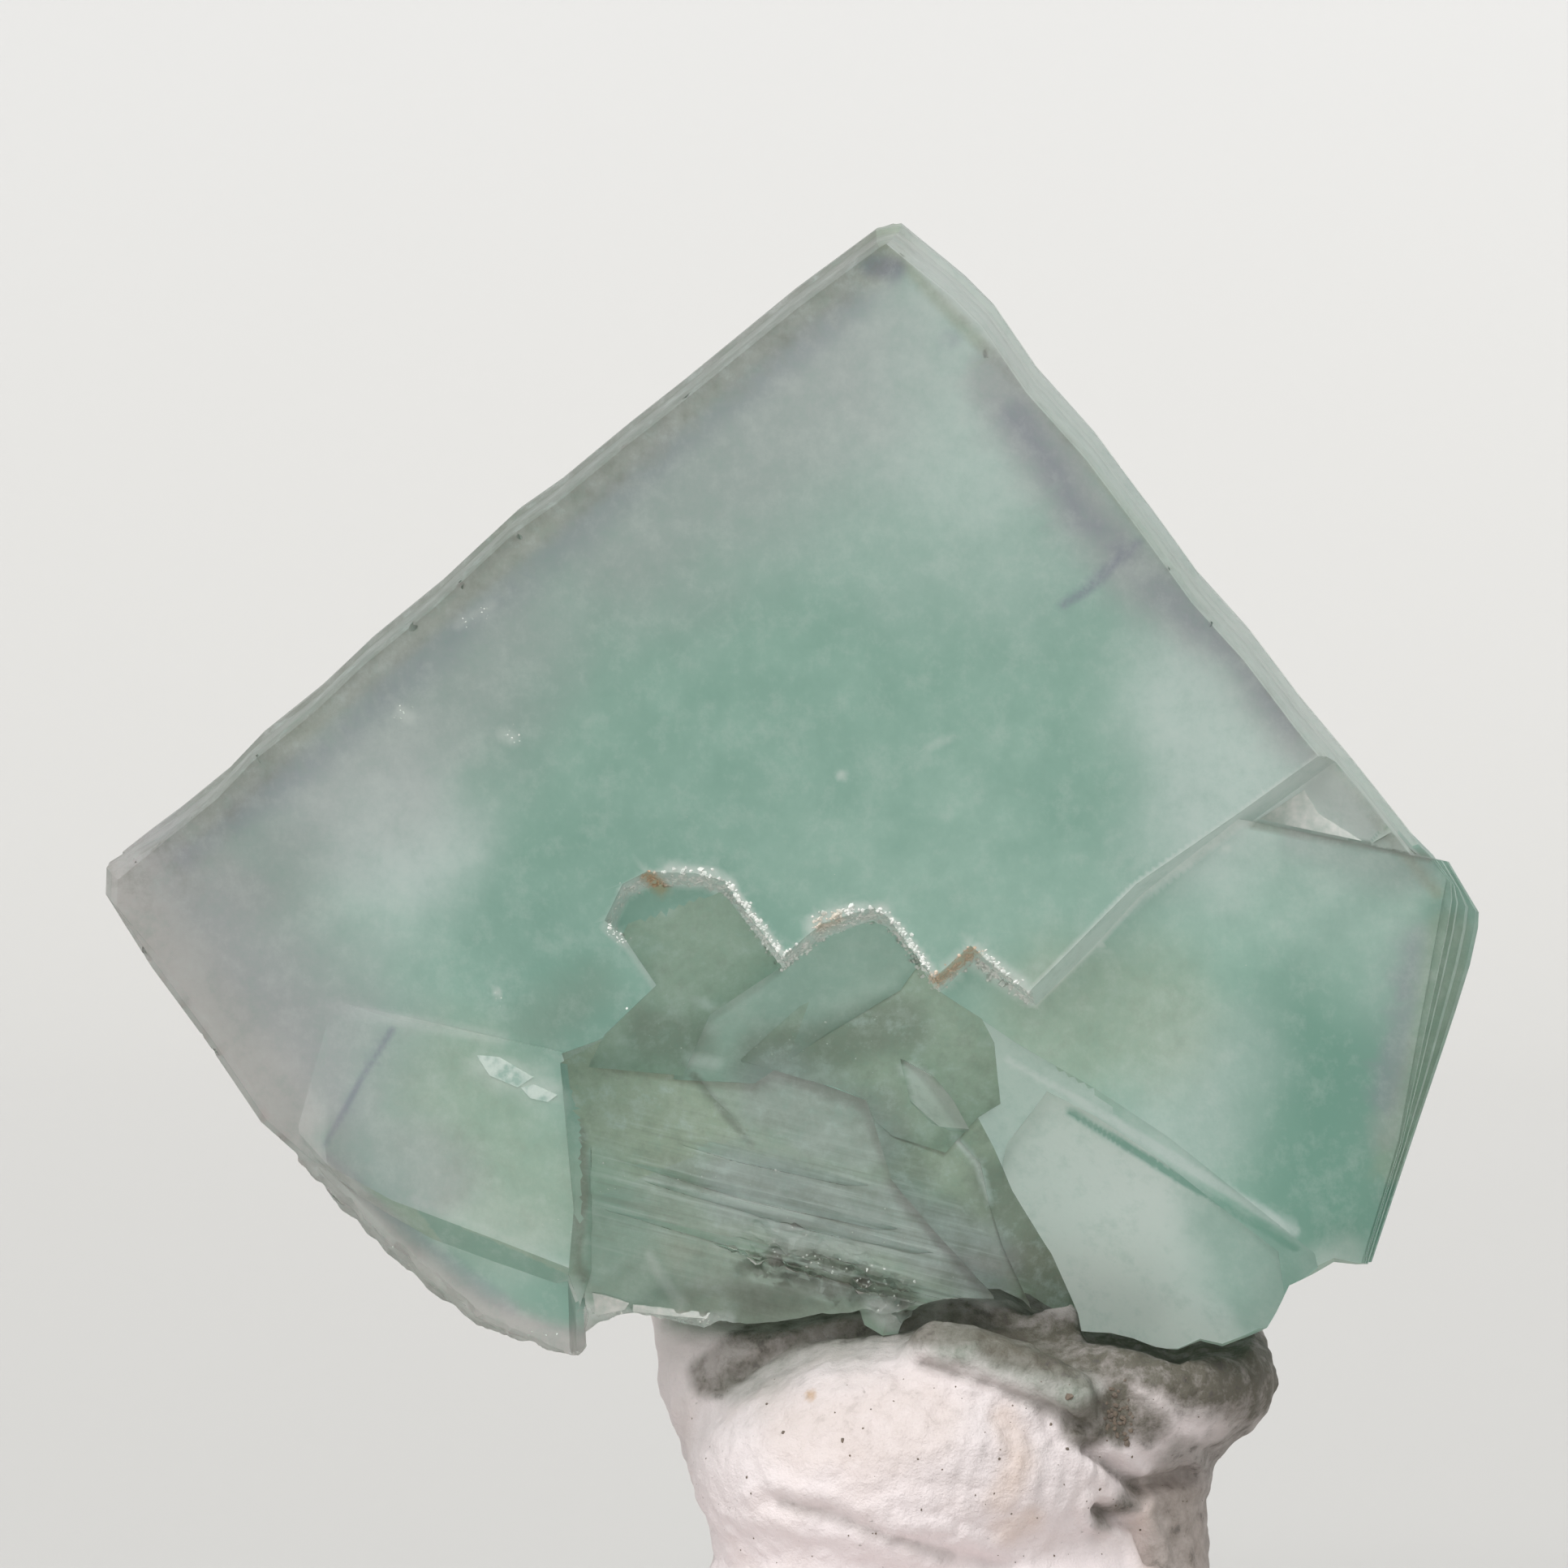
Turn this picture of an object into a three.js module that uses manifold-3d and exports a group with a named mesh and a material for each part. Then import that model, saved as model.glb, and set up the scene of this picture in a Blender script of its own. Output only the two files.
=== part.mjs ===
// A fluorite cluster: one tabular cube crystal standing on a broken corner, a second cube grown into its
// lower right side and a third corner grown out of its lower left, all one intergrown solid. Its lower end
// is broken along cleavage planes and sits in a kneaded lump of putty that is pressed flat underneath.
//
// Units are millimetres, +Z is up. The origin is the middle of the putty's flat foot.
// Crystal outlines are drawn as [x, depth, z]: x and z are where a corner is seen on an upright drawing
// plane by an eye straight in front, and depth is how far it lies behind the big front face. seen() puts
// such a corner in its place in the row frame.
import * as THREE from "three";
import { ConvexGeometry } from "three/addons/geometries/ConvexGeometry.js";
import { mergeVertices } from "three/addons/utils/BufferGeometryUtils.js";
import Module from "manifold-3d";

const wasm = await Module();
wasm.setup();

// ---------------------------------------------------------------- driving dimensions
const MAIN_DEPTH = 12.4; // from the front face of the big cube to its back face
const LAYER = 1.0; // thickness of the last growth layer on the front face
const LAYER_LEAN = 0.36; // width of the slanting edge where that layer is broken off
const EDGE_BEVEL = 0.1; // width of the bevel along the two upper edges of the front face
const EDGE_FLARE = 0.34; // how far the upper right side stands out behind the front face
const LOW_BEVEL = 0.36; // width of the bevel along the lower left edge
const SECOND_DEPTH = 9.4; // how deep the second cube reaches
const NOD = THREE.MathUtils.degToRad(6); // forward lean of the cluster
const TURN = THREE.MathUtils.degToRad(1.2); // turn of the cluster, which shows its right side
const EYE = new THREE.Vector3(-2.48, -226, 24.28); // where the outlines are seen from
const FACE_POINT = new THREE.Vector3(-2.48, -6, 24.28); // front face and drawing plane cross here
const SEAT_GAP = 0.3; // clearance between the putty and the crystal
const FRONT = -5; // a depth that is clear in front of every crystal face

const BACKWARD = new THREE.Vector3(
  Math.sin(TURN) * Math.cos(NOD),
  Math.cos(TURN) * Math.cos(NOD),
  Math.sin(NOD),
);

// ---------------------------------------------------------------- geometry helpers
const solid = (geometry) => {
  const bare = geometry.clone();
  bare.deleteAttribute("normal");
  bare.deleteAttribute("uv");
  const merged = mergeVertices(bare, 1e-4);
  return new wasm.Manifold(
    new wasm.Mesh({
      numProp: 3,
      vertProperties: new Float32Array(merged.attributes.position.array),
      triVerts: new Uint32Array(merged.index.array),
    }),
  );
};

const geometryOf = (manifold) => {
  const mesh = manifold.getMesh();
  const geometry = new THREE.BufferGeometry();
  geometry.setAttribute("position", new THREE.BufferAttribute(mesh.vertProperties, 3));
  geometry.setIndex(new THREE.BufferAttribute(mesh.triVerts, 1));
  return geometry;
};

const biggestPart = (manifold) => manifold.decompose().sort((a, b) => b.volume() - a.volume())[0];

// A small repeatable random number, 0 to 1.
const dice = (seed) => {
  let state = seed;
  return () => {
    state = (state * 1664525 + 1013904223) % 4294967296;
    return state / 4294967296;
  };
};

// Where the line of sight through a drawn point meets a plane.
const onPlane = (x, z, plane) => {
  const sight = new THREE.Vector3(x, FACE_POINT.y, z).sub(EYE);
  const t = -plane.distanceToPoint(EYE) / plane.normal.dot(sight);
  return EYE.clone().addScaledVector(sight, t);
};
const depthPlane = (depth) =>
  new THREE.Plane().setFromNormalAndCoplanarPoint(
    BACKWARD,
    FACE_POINT.clone().addScaledVector(BACKWARD, depth),
  );
const seen = ([x, depth, z]) => onPlane(x, z, depthPlane(depth));
const planeThrough = (a, b, c) => new THREE.Plane().setFromCoplanarPoints(seen(a), seen(b), seen(c));

const hull = (points) => solid(new ConvexGeometry(points));

// A closed skin through rings of equal length, nearest ring first, capped at both ends.
const loft = (given) => {
  const outline = given[0].map(({ x, z }) => new THREE.Vector2(x, z));
  const clockwise = THREE.ShapeUtils.isClockWise(outline);
  const rings = clockwise ? given.map((points) => points.toReversed()) : given;
  const caps = THREE.ShapeUtils.triangulateShape(clockwise ? outline.toReversed() : outline, []);
  const count = outline.length;
  const last = (rings.length - 1) * count;
  const index = caps.flatMap(([a, b, c]) => [a, b, c, last + c, last + b, last + a]);
  for (let r = 0; r + 1 < rings.length; r++)
    for (let i = 0; i < count; i++) {
      const j = (i + 1) % count;
      const [a, b, c, d] = [r * count + i, r * count + j, (r + 1) * count + i, (r + 1) * count + j];
      index.push(a, c, b, b, c, d);
    }
  const geometry = new THREE.BufferGeometry().setFromPoints(rings.flat());
  geometry.setIndex(index);
  return solid(geometry);
};

// Everything in front of a plane, inside a drawn outline: cut away, it leaves a facet.
const window = (outline, plane, gap = 0) =>
  loft([
    outline.map(([x, z]) => seen([x, FRONT, z])),
    outline.map(([x, z]) => onPlane(x, z, plane).addScaledVector(BACKWARD, -gap)),
  ]);

// ---------------------------------------------------------------- the big cube
// Its upper left, upper right and lower left sides as they are seen, as [x, z].
const LEFT_TIP = [[-19.22, 21.5], [-19.2, 22.16]];
const UPPER_LEFT = [
  [-17.95, 23.3], [-16.74, 24.28], [-15.88, 25.18], [-14.4, 26.36], [-13.12, 27.58], [-11.38, 29.0],
  [-9.48, 30.78], [-8.42, 31.52], [-6.7, 32.94], [-5.28, 34.06], [-2.48, 36.34], [-0.42, 37.86],
];
const UPPER_RIGHT = [
  [0.48, 37.96], [2.08, 36.64], [2.82, 35.9], [3.92, 34.3], [5.4, 32.64], [6.88, 30.66], [8.0, 29.12],
  [9.28, 27.7], [10.58, 25.98], [12.0, 24.28], [13.44, 22.46], [14.0, 21.9],
];
const HIDDEN = [[2.0, 9.0], [-5.8, 8.6]];
const LOWER_LEFT = [
  [-8.2, 10.1], [-10.2, 11.0], [-12.3, 12.8], [-14.4, 15.0], [-15.4, 15.9], [-16.74, 17.88], [-18.1, 19.72],
];
// [points, inset of the front face, its bevel as a step out, flare of the wall behind] for each side
const MAIN_SIDES = [
  [LEFT_TIP, [0.3, -0.24], [-0.32, 0.26], [0, 0]],
  [UPPER_LEFT, [0.3, -0.36], [-0.64 * EDGE_BEVEL, 0.76 * EDGE_BEVEL], [-0.25 * EDGE_FLARE, 0.4 * EDGE_FLARE]],
  [UPPER_RIGHT, [-0.44, -0.37], [0.76 * EDGE_BEVEL, 0.64 * EDGE_BEVEL], [0.8 * EDGE_FLARE, 0.5 * EDGE_FLARE]],
  [HIDDEN, [0, 0], [0, 0], [0, 0]],
  [LOWER_LEFT, [0.8 * LOW_BEVEL, 0.6 * LOW_BEVEL], [-0.8 * LOW_BEVEL, -0.6 * LOW_BEVEL], [0, 0]],
];
// [depth, share of the bevel, share of the flare, growth of the wall] of the ledges round the cube
const MAIN_LEDGES = [
  [0, 0, 0, 1], [0.1, 0.5, 0, 1], [0.16, 0.55, 0, 1], [0.4, 1, 0.15, 1], [1.6, 1, 0.45, 1.002],
  [1.75, 0.9, 0.4, 0.993], [4.2, 0.8, 0.8, 0.995], [4.35, 0.8, 1, 1.002], [7.0, 0.6, 1, 1],
  [7.2, 0.5, 0.8, 0.99], [9.2, 0.4, 0.5, 0.992], [9.35, 0.4, 0.5, 0.998],
  [MAIN_DEPTH - 0.4, 0.3, 0.2, 0.996], [MAIN_DEPTH, 0.2, 0, 0.965],
];

const mainCube = (grow) => {
  const centre = seen([-1.2, 0, 22.6]);
  const upright = ([x, z]) => new THREE.Vector3(x, 0, z);
  const corners = MAIN_SIDES.flatMap(([points, inset, bevel, flare]) =>
    points.map(([x, z]) => ({
      face: seen([x + inset[0], 0, z + inset[1]]),
      bevel: upright(bevel),
      flare: upright(flare),
    })),
  );
  const ring = ([depth, bevelShare, flareShare, growth]) =>
    corners.map(({ face, bevel, flare }) =>
      face.clone().sub(centre).multiplyScalar(growth + grow / 11).add(centre)
        .addScaledVector(bevel, bevelShare).addScaledVector(flare, flareShare)
        .addScaledVector(BACKWARD, depth),
    );
  return loft(MAIN_LEDGES.map(ring));
};

// The front layer stops at a zigzag whose short sides run along the cube's own edges.
const ZIGZAG = [
  [13.4, 22.9], [11.0, 25.2], [8.8, 23.62], [6.2, 21.82], [4.4, 20.0], [3.54, 19.14], [2.12, 20.3],
  [1.22, 19.5], [0.06, 21.02], [-0.3, 21.24], [-1.56, 20.84], [-2.54, 20.02], [-3.96, 21.9],
  [-4.68, 22.08], [-5.88, 22.12], [-6.46, 21.82], [-6.9, 20.92], [-6.46, 20.56], [-5.62, 19.32],
  [-6.96, 18.02], [-7.96, 17.64],
];
const LAYER_LOST = [...ZIGZAG, [-7.7, 8], [4, 7], [16, 9], [18, 22]];

const frontLayerCut = () => {
  const lean = ([x, z]) => [x + 0.5 * LAYER_LEAN, LAYER, z - 0.86 * LAYER_LEAN];
  return loft([
    LAYER_LOST.map(([x, z]) => seen([x, FRONT, z])),
    LAYER_LOST.map(([x, z]) => seen([x, 0.01, z])),
    LAYER_LOST.map((point) => seen(lean(point))),
  ]);
};

// ---------------------------------------------------------------- the second cube, lower right
// Its front face turns a little to the left, so its right side shows as a ribbed band.
// [x, z] of the face's corner, then [x, z] of the widest growth plate beside it.
const SECOND_CORNERS = [
  [[3.2, 24.6], [3.2, 24.6]], [[8.9, 23.34], [9.0, 23.5]], [[13.4, 22.42], [13.9, 22.36]],
  [[13.84, 21.95], [14.32, 21.54]], [[13.76, 21.5], [14.64, 21.12]], [[13.6, 20.6], [14.62, 20.74]],
  [[13.42, 19.8], [14.42, 19.82]], [[13.2, 18.7], [14.06, 18.66]], [[12.9, 16.9], [13.48, 16.96]],
  [[12.66, 15.5], [12.86, 15.2]], [[12.1, 13.9], [12.26, 13.6]], [[11.6, 12.6], [11.84, 12.74]],
  [[11.3, 11.0], [11.5, 11.0]], [[8.6, 8.6], [8.6, 8.6]], [[1.8, 9.0], [1.8, 9.0]],
];
const secondFace = planeThrough([8.9, 0.3, 23.3], [13.88, -0.65, 21.9], [11.4, -0.2, 12.7]);
// [share of the way out to the widest plate, first and last depth behind the face] of the growth plates
const SECOND_PLATES = [
  [0.26, 0.15, 1.7], [0.42, 1.1, 2.9], [0.7, 2.2, 4.2], [1.0, 3.8, 6.0], [0.84, 5.6, 7.4],
  [0.55, 7.0, SECOND_DEPTH],
];

const secondCube = (grow) => {
  const centre = seen([8.2, 0, 17]);
  const plate = (share, behind) => {
    const plane = secondFace.clone().translate(BACKWARD.clone().multiplyScalar(behind));
    return SECOND_CORNERS.map(([[x, z], [wideX, wideZ]]) =>
      onPlane(x + (wideX - x) * share, z + (wideZ - z) * share, plane)
        .sub(centre).multiplyScalar(1 + grow / 6).add(centre).addScaledVector(BACKWARD, behind ? 0 : -grow),
    );
  };
  return SECOND_PLATES.reduce(
    (cube, [share, first, last]) =>
      cube.add(hull([...plate(share * 0.9, first), ...plate(share, first + 0.2), ...plate(share, last)])),
    hull([...plate(0, 0), ...plate(0.14, 1.2)]),
  );
};

// ---------------------------------------------------------------- the third corner, lower left
const THIRD_CORNER = [
  // the flat face, just proud of the big face
  [-12.14, -0.16, 18.5], [-9.36, -0.12, 17.98], [-7.9, -0.1, 17.66], [-7.5, -0.24, 15.9], [-7.64, -0.4, 12.3],
  [-9.7, -0.48, 13.1], [-12.14, -0.5, 14.02], [-13.74, -0.44, 14.9], [-13.8, -0.42, 15.4],
  // the left shoulder, where it sinks back into the big face
  [-13.68, 0.06, 18.98], [-14.9, 0.3, 16.2],
  // the ridge above the frosted rim
  [-12.48, 0.3, 13.64], [-11.02, 0.7, 12.64], [-9.22, 1.0, 11.2], [-7.7, 1.1, 11.6],
  // the rim itself
  [-14.45, 1.2, 15.0], [-13.66, 1.9, 14.18], [-12.0, 2.4, 12.52], [-9.98, 2.9, 10.92], [-8.74, 3.1, 10.54],
  [-7.76, 3.2, 10.18], [-6.7, 3.3, 10.72], [-6.6, 3.0, 17.5],
  // its root inside the big cube
  [-14.0, 4.4, 17.0], [-13.0, 5.0, 14.8], [-9.8, 6.0, 11.6], [-7.2, 6.2, 10.9], [-7.5, 6.0, 18.2],
];

const thirdCorner = (grow) => {
  const centre = seen([-10.2, 0, 14.5]);
  const points = THIRD_CORNER.map(seen);
  const grown = points.map((point) =>
    point.clone().sub(centre).multiplyScalar(1 + grow / 5).add(centre).addScaledVector(BACKWARD, -grow),
  );
  return hull([...points, ...grown]);
};

// ---------------------------------------------------------------- broken faces of the lower end
// Each is a window: a drawn outline of [x, z], and three drawn points of the plane that the break follows.
const SLAB = [[-4.94, 1.15, 17.5], [-0.46, 1.25, 16.5], [-1.8, 4.0, 11.6]];
const BREAKS = [
  // the bright ramp that runs down to the left from the middle bump
  {
    outline: [
      [-2.9, 19.95], [-2.5, 19.72], [-1.56, 20.5], [-0.3, 20.9], [0.06, 20.75], [0.9, 19.9], [0.4, 19.2],
      [-1.6, 18.0], [-3.2, 16.9], [-5.2, 17.0], [-4.9, 18.6],
    ],
    through: [[-2.5, 1.05, 20.0], [0.1, 1.1, 21.0], [-4.0, 2.05, 17.5]],
  },
  // the olive hollow under the left bump of the zigzag
  {
    outline: [
      [-6.46, 20.56], [-6.1, 21.3], [-5.5, 21.7], [-4.68, 21.78], [-3.96, 21.58], [-2.54, 19.78],
      [-4.3, 18.6], [-4.98, 17.1], [-7.3, 17.3], [-6.9, 18.1], [-5.62, 19.32],
    ],
    through: [[-6.46, 1.1, 20.56], [-3.9, 1.2, 21.3], [-4.4, 2.8, 17.5]],
  },
  // the striated slab, with its upper left part broken a little deeper
  {
    outline: [
      [-7.96, 17.64], [-6.96, 18.0], [-4.94, 17.56], [-3.5, 17.46], [-1.96, 17.04], [-0.2, 16.4], [1.4, 14.4],
      [3.4, 12.2], [4.2, 8], [-7.4, 8], [-7.4, 12.1], [-7.2, 14.2], [-7.4, 15.9],
    ],
    through: SLAB,
  },
  {
    outline: [
      [-8.0, 17.4], [-6.9, 17.98], [-4.94, 17.52], [-4.2, 16.5], [-3.36, 15.74], [-3.3, 14.6], [-7.6, 13.2],
    ],
    through: [[-3.36, 1.94, 15.74], [-7.5, 3.27, 14.0], [-4.94, 1.5, 17.5]],
  },
  // the groove beside the third corner
  {
    outline: [[-7.68, 15.8], [-7.25, 15.7], [-7.22, 12.3], [-7.5, 11.4], [-7.8, 12.2], [-7.62, 14.2]],
    through: [[-7.5, 2.4, 15.8], [-7.2, 2.45, 15.8], [-7.5, 4.6, 12.0]],
  },
  // the bright cleavage face at the lower right, in two steps
  {
    outline: [
      [2.4, 18.48], [3.24, 17.9], [5.16, 16.78], [6.96, 15.6], [9.84, 13.32], [10.6, 12.7], [11.6, 8],
      [4.6, 8], [3.6, 11.2], [2.6, 13.4], [1.9, 15.9], [2.0, 17.6],
    ],
    through: [[2.4, 1.5, 18.45], [10.2, 0.4, 12.95], [4.7, 3.3, 11.2]],
  },
  {
    outline: [
      [4.0, 16.7], [5.2, 16.1], [6.96, 14.9], [9.7, 12.75], [10.4, 8], [4.7, 8], [3.8, 11.3], [2.7, 13.6],
      [3.0, 15.4],
    ],
    through: [[4.2, 1.85, 16.4], [9.6, 1.0, 12.8], [4.7, 3.6, 11.2]],
  },
  // the dark hollow under the zigzag
  {
    outline: [
      [-3.56, 17.48], [-2.1, 18.8], [-0.04, 19.76], [0.6, 20.3], [1.22, 19.25], [2.4, 18.5], [2.7, 17.9],
      [2.86, 16.4], [2.3, 16.06], [1.5, 15.2], [0.2, 15.6], [-0.2, 15.94], [-0.46, 16.5], [-1.2, 16.8],
      [-1.96, 17.0],
    ],
    through: [[1.0, 1.75, 19.6], [-3.0, 2.2, 17.8], [0.6, 3.4, 16.2]],
  },
  // the channel that runs down from it, with a ridge along its middle
  {
    outline: [
      [-0.46, 16.5], [-0.26, 15.94], [0.16, 14.54], [1.34, 13.14], [2.68, 11.68], [3.9, 8], [5.2, 8],
      [4.5, 11.24], [3.0, 14.26], [2.5, 15.3], [2.2, 16.06], [1.1, 17.06], [0.38, 17.5],
    ],
    through: [[0.5, 2.6, 17.2], [0.3, 4.1, 14.4], [2.7, 4.5, 12.6]],
  },
  {
    outline: [
      [2.3, 16.06], [1.68, 15.66], [2.36, 14.94], [2.58, 13.92], [2.9, 12.9], [3.6, 11.4], [4.4, 8],
      [5.4, 8], [4.76, 11.24], [4.1, 12.7], [3.14, 14.26], [2.7, 15.3],
    ],
    through: [[1.9, 3.4, 15.6], [4.0, 5.2, 12.6], [1.9, 4.6, 12.6]],
  },
];

// The slab is stepped by long striations that run down to the right: [left x, right x, middle z, depth].
const STRIAE = [
  [-7.0, -0.4, 15.2, 0.07], [-6.9, 0.3, 14.2, 0.1], [-5.9, 1.2, 13.6, 0.08], [-6.9, 1.9, 12.7, 0.12],
  [-4.2, 2.6, 12.1, 0.1],
];
const STRIA_FALL = Math.tan(THREE.MathUtils.degToRad(14));

const striae = () =>
  STRIAE.map(([left, right, z, depth]) => {
    const middle = (left + right) / 2;
    const edge = (x, up) => [x, z + up - (x - middle) * STRIA_FALL];
    const outline = [
      edge(left, 0), edge(middle, 0.13), edge(right, 0.02), edge(right - 0.5, -0.12), edge(middle, -0.2),
    ];
    const floor = SLAB.map(([x, y, height]) => [x, y + depth, height]);
    return window(outline, planeThrough(...floor));
  });

// A ledge of the layer that survives on the valley's side, and the glassy bead on the broken rim.
const VALLEY_LEDGE = [
  [0.38, 2.3, 17.52], [1.22, 2.0, 17.06], [1.68, 2.1, 16.5], [2.08, 2.6, 15.78], [1.34, 3.0, 15.84],
  [0.62, 2.9, 16.5], [0.9, 4.4, 17.3], [2.0, 4.8, 15.6], [0.8, 4.8, 16.1],
];
const RIM_BEAD = [
  [-0.75, 4.2, 11.6], [0.1, 4.0, 11.25], [0.42, 4.1, 10.98], [0.34, 4.4, 10.72], [-0.05, 4.3, 10.68],
  [-0.5, 4.4, 10.95], [-0.6, 6, 12.2], [0.6, 6, 11.8],
];

const rimBead = (grow) => {
  const points = RIM_BEAD.map(seen);
  const centre = seen([0, 4.6, 11.2]);
  return hull(points.map((point) => point.sub(centre).multiplyScalar(1 + grow / 0.5).add(centre)));
};

// ---------------------------------------------------------------- the broken lower end
// The lowest rim as it is seen from left to right, [x, z].
const RIM = [
  [-24, 10.9], [-10, 10.9], [-8.74, 10.5], [-7.76, 10.16], [-6.7, 10.7], [-5.78, 10.84], [-3.94, 10.78],
  [-2.3, 10.88], [-0.6, 11.28], [0.2, 11.1], [0.6, 11.3], [1.5, 11.6], [2.9, 11.5], [3.78, 10.9],
  [5.34, 10.74], [6.16, 10.56], [7.16, 10.22], [7.64, 10.56], [8.16, 10.3], [9.24, 10.68], [9.5, 10.84],
  [9.86, 11.94], [10.32, 11.88], [10.74, 12.54], [11.54, 12.4], [20, 12.4],
];
const rimHeight = (x) => {
  const next = Math.max(1, RIM.findIndex(([at]) => at > x));
  const [[x0, z0], [x1, z1]] = [RIM[next - 1], RIM[next]];
  return z0 + ((z1 - z0) * (x - x0)) / (x1 - x0);
};

// Hackly breakage: flat flakes that step up and down, each round its own seed.
const flakes = (seed, count, [u0, u1], [v0, v1], slope, step) => {
  const roll = dice(seed);
  const list = Array.from({ length: count }, () => ({
    u: u0 + (u1 - u0) * roll(),
    v: v0 + (v1 - v0) * roll(),
    height: step * roll(),
    tiltU: slope * (roll() - 0.5),
    tiltV: slope * (roll() - 0.5),
  }));
  return (u, v) => {
    const away = ({ u: fu, v: fv }) => (fu - u) ** 2 + (fv - v) ** 2;
    const f = list.reduce((best, flake) => (away(flake) < away(best) ? flake : best));
    return Math.max(0, f.height + f.tiltU * (u - f.u) + f.tiltV * (v - f.v));
  };
};

// A block with a broken side: each point of its [width, height, thickness] grid is moved by shape().
const block = ([width, height, thickness], [across, up], shape) => {
  const box = new THREE.BoxGeometry(width, height, thickness, across, up, 1);
  const position = box.attributes.position;
  for (let i = 0; i < position.count; i++) {
    const point = shape(position.getX(i), position.getY(i), position.getZ(i) > 0);
    position.setXYZ(i, point.x, point.y, point.z);
  }
  return solid(box);
};

// All that lies under the broken end. Behind the rim the break climbs into the crystal.
const underside = flakes(7, 46, [-12, 14], [0, 14], 0.7, 0.9);
const groundCut = (drop) =>
  block([34, 20, 1], drop ? [50, 8] : [62, 15], (u, v, top) => {
    const [x, depth] = [u - 1, v + 7];
    if (!top) return seen([x, depth, -6]);
    const behind = Math.max(0, depth - 4.6);
    const rough = drop ? 0 : underside(x, depth) * Math.min(1, 0.15 + behind * 0.5);
    return seen([x, depth, rimHeight(x) + rough + 0.25 * behind - drop]);
  });

// The back is broken too, low down, where the cluster came off its rock.
const backFlakes = flakes(23, 60, [-20, 16], [6, 26], 0.5, 0.6);
const backCut = (drop) =>
  block([44, 26, 1], drop ? [12, 8] : [30, 18], (x, v, front) => {
    const z = v + 12;
    if (!front) return seen([x - 3, 34, z]);
    const lost = Math.max(0, 0.62 * (21.5 - z) - 0.16 * x);
    const rough = drop ? 0 : backFlakes(x, z) * Math.min(1, lost);
    return seen([x - 3, MAIN_DEPTH + 0.6 - lost - rough + drop, z]);
  });

// ---------------------------------------------------------------- chips along the edges
// [from, to, number of chips, size]
const CHIPPED_EDGES = [
  [[-14.6, 1.3, 15.1], [-8.6, 3.1, 10.5], 14, 0.3],
  [[-19.1, 0.4, 21.3], [-14.6, 0.5, 15.3], 9, 0.22],
  [[-18.9, 0.1, 22.0], [-0.6, 0.1, 37.5], 14, 0.13],
  [[0.2, 0.1, 37.6], [13.2, 0.1, 22.3], 14, 0.14],
  [[14.6, 4.6, 21.0], [12.0, 4.6, 13.2], 8, 0.2],
  [[-18.0, 12.2, 23.2], [-0.6, 12.2, 37.7], 9, 0.26],
  [[0.5, 12.2, 37.7], [12.4, 12.2, 23.6], 8, 0.26],
];

const chips = () => {
  const roll = dice(101);
  const spread = () => roll() - 0.5;
  return CHIPPED_EDGES.flatMap(([from, to, count, size]) =>
    Array.from({ length: count }, (_, i) => {
      const t = (i + 0.2 + 0.6 * roll()) / count;
      const middle = from.map((value, axis) => value + (to[axis] - value) * t + 0.35 * size * spread());
      const reach = size * (0.5 + 0.9 * roll());
      return hull(Array.from({ length: 7 }, () => seen(middle.map((value) => value + 2 * reach * spread()))));
    }),
  );
};

// ---------------------------------------------------------------- the cluster
// A grown copy, with the small detail left out, presses the seat into the putty.
const cluster = (grow) => {
  let body = grow ? mainCube(grow) : mainCube(0).subtract(frontLayerCut());
  body = body.add(secondCube(grow)).add(thirdCorner(grow));
  for (const { outline, through } of BREAKS)
    body = body.subtract(window(outline, planeThrough(...through), grow));
  if (!grow) {
    const ledged = body.add(hull(VALLEY_LEDGE.map(seen)));
    body = striae().reduce((left, stria) => left.subtract(stria), ledged);
  }
  body = body.subtract(groundCut(grow)).subtract(backCut(grow)).add(rimBead(grow));
  return biggestPart(grow ? body : chips().reduce((left, chip) => left.subtract(chip), body));
};

// ---------------------------------------------------------------- the putty
// A turned skin: [height, left, right, front, back] of the kneaded column, from its flat foot upwards.
const COLUMN = [
  [0, -8.6, 9.0, -7.0, 7.0], [0.6, -9.2, 9.6, -7.6, 7.6], [1.6, -8.4, 9.3, -6.8, 7.3],
  [2.8, -5.8, 8.8, -4.8, 6.2], [4.2, -4.15, 8.25, -2.6, 5.6], [5.6, -4.4, 8.3, -1.8, 5.4],
  [6.9, -4.95, 8.5, -1.2, 5.6], [8.2, -5.45, 8.9, -0.6, 6.0], [9.6, -5.75, 9.6, 0.2, 6.4],
  [10.9, -6.05, 9.9, 0.8, 6.4], [12.4, -5.6, 9.2, 1.4, 5.8],
];
// [centre, radii, slope] of the lumps kneaded onto it; slope tips a lump up towards the right
const LUMPS = [
  [[1.0, 0.4, 6.85], [5.75, 4.6, 3.45], 0.02],
  [[-0.6, 0.7, 3.7], [3.4, 3.9, 2.35], -0.2],
  [[3.4, 0.0, 3.4], [4.0, 3.7, 2.0], 0.0],
  [[6.1, 1.5, 8.7], [4.0, 4.0, 2.2], 0.12],
];
// the tongue folded over the top of the big lump: its two ends and its thickness
const TONGUE = [[1.4, -2.0, 10.15], [5.0, -3.0, 8.95], 0.8];
const AXIS = [1.6, 2.4]; // x and y of the middle of the column
const AROUND = 56; // a multiple of four, so that the skin has a seam on each axis
const LEVELS = 33;
const TOP = 12.4;

const columnAt = (z) => {
  const next = Math.max(1, COLUMN.findIndex(([height]) => height >= z - 1e-9));
  const [low, high] = [COLUMN[next - 1], COLUMN[next]];
  const t = (z - low[0]) / (high[0] - low[0]);
  return low.map((value, i) => value + (high[i] - value) * t);
};

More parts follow.
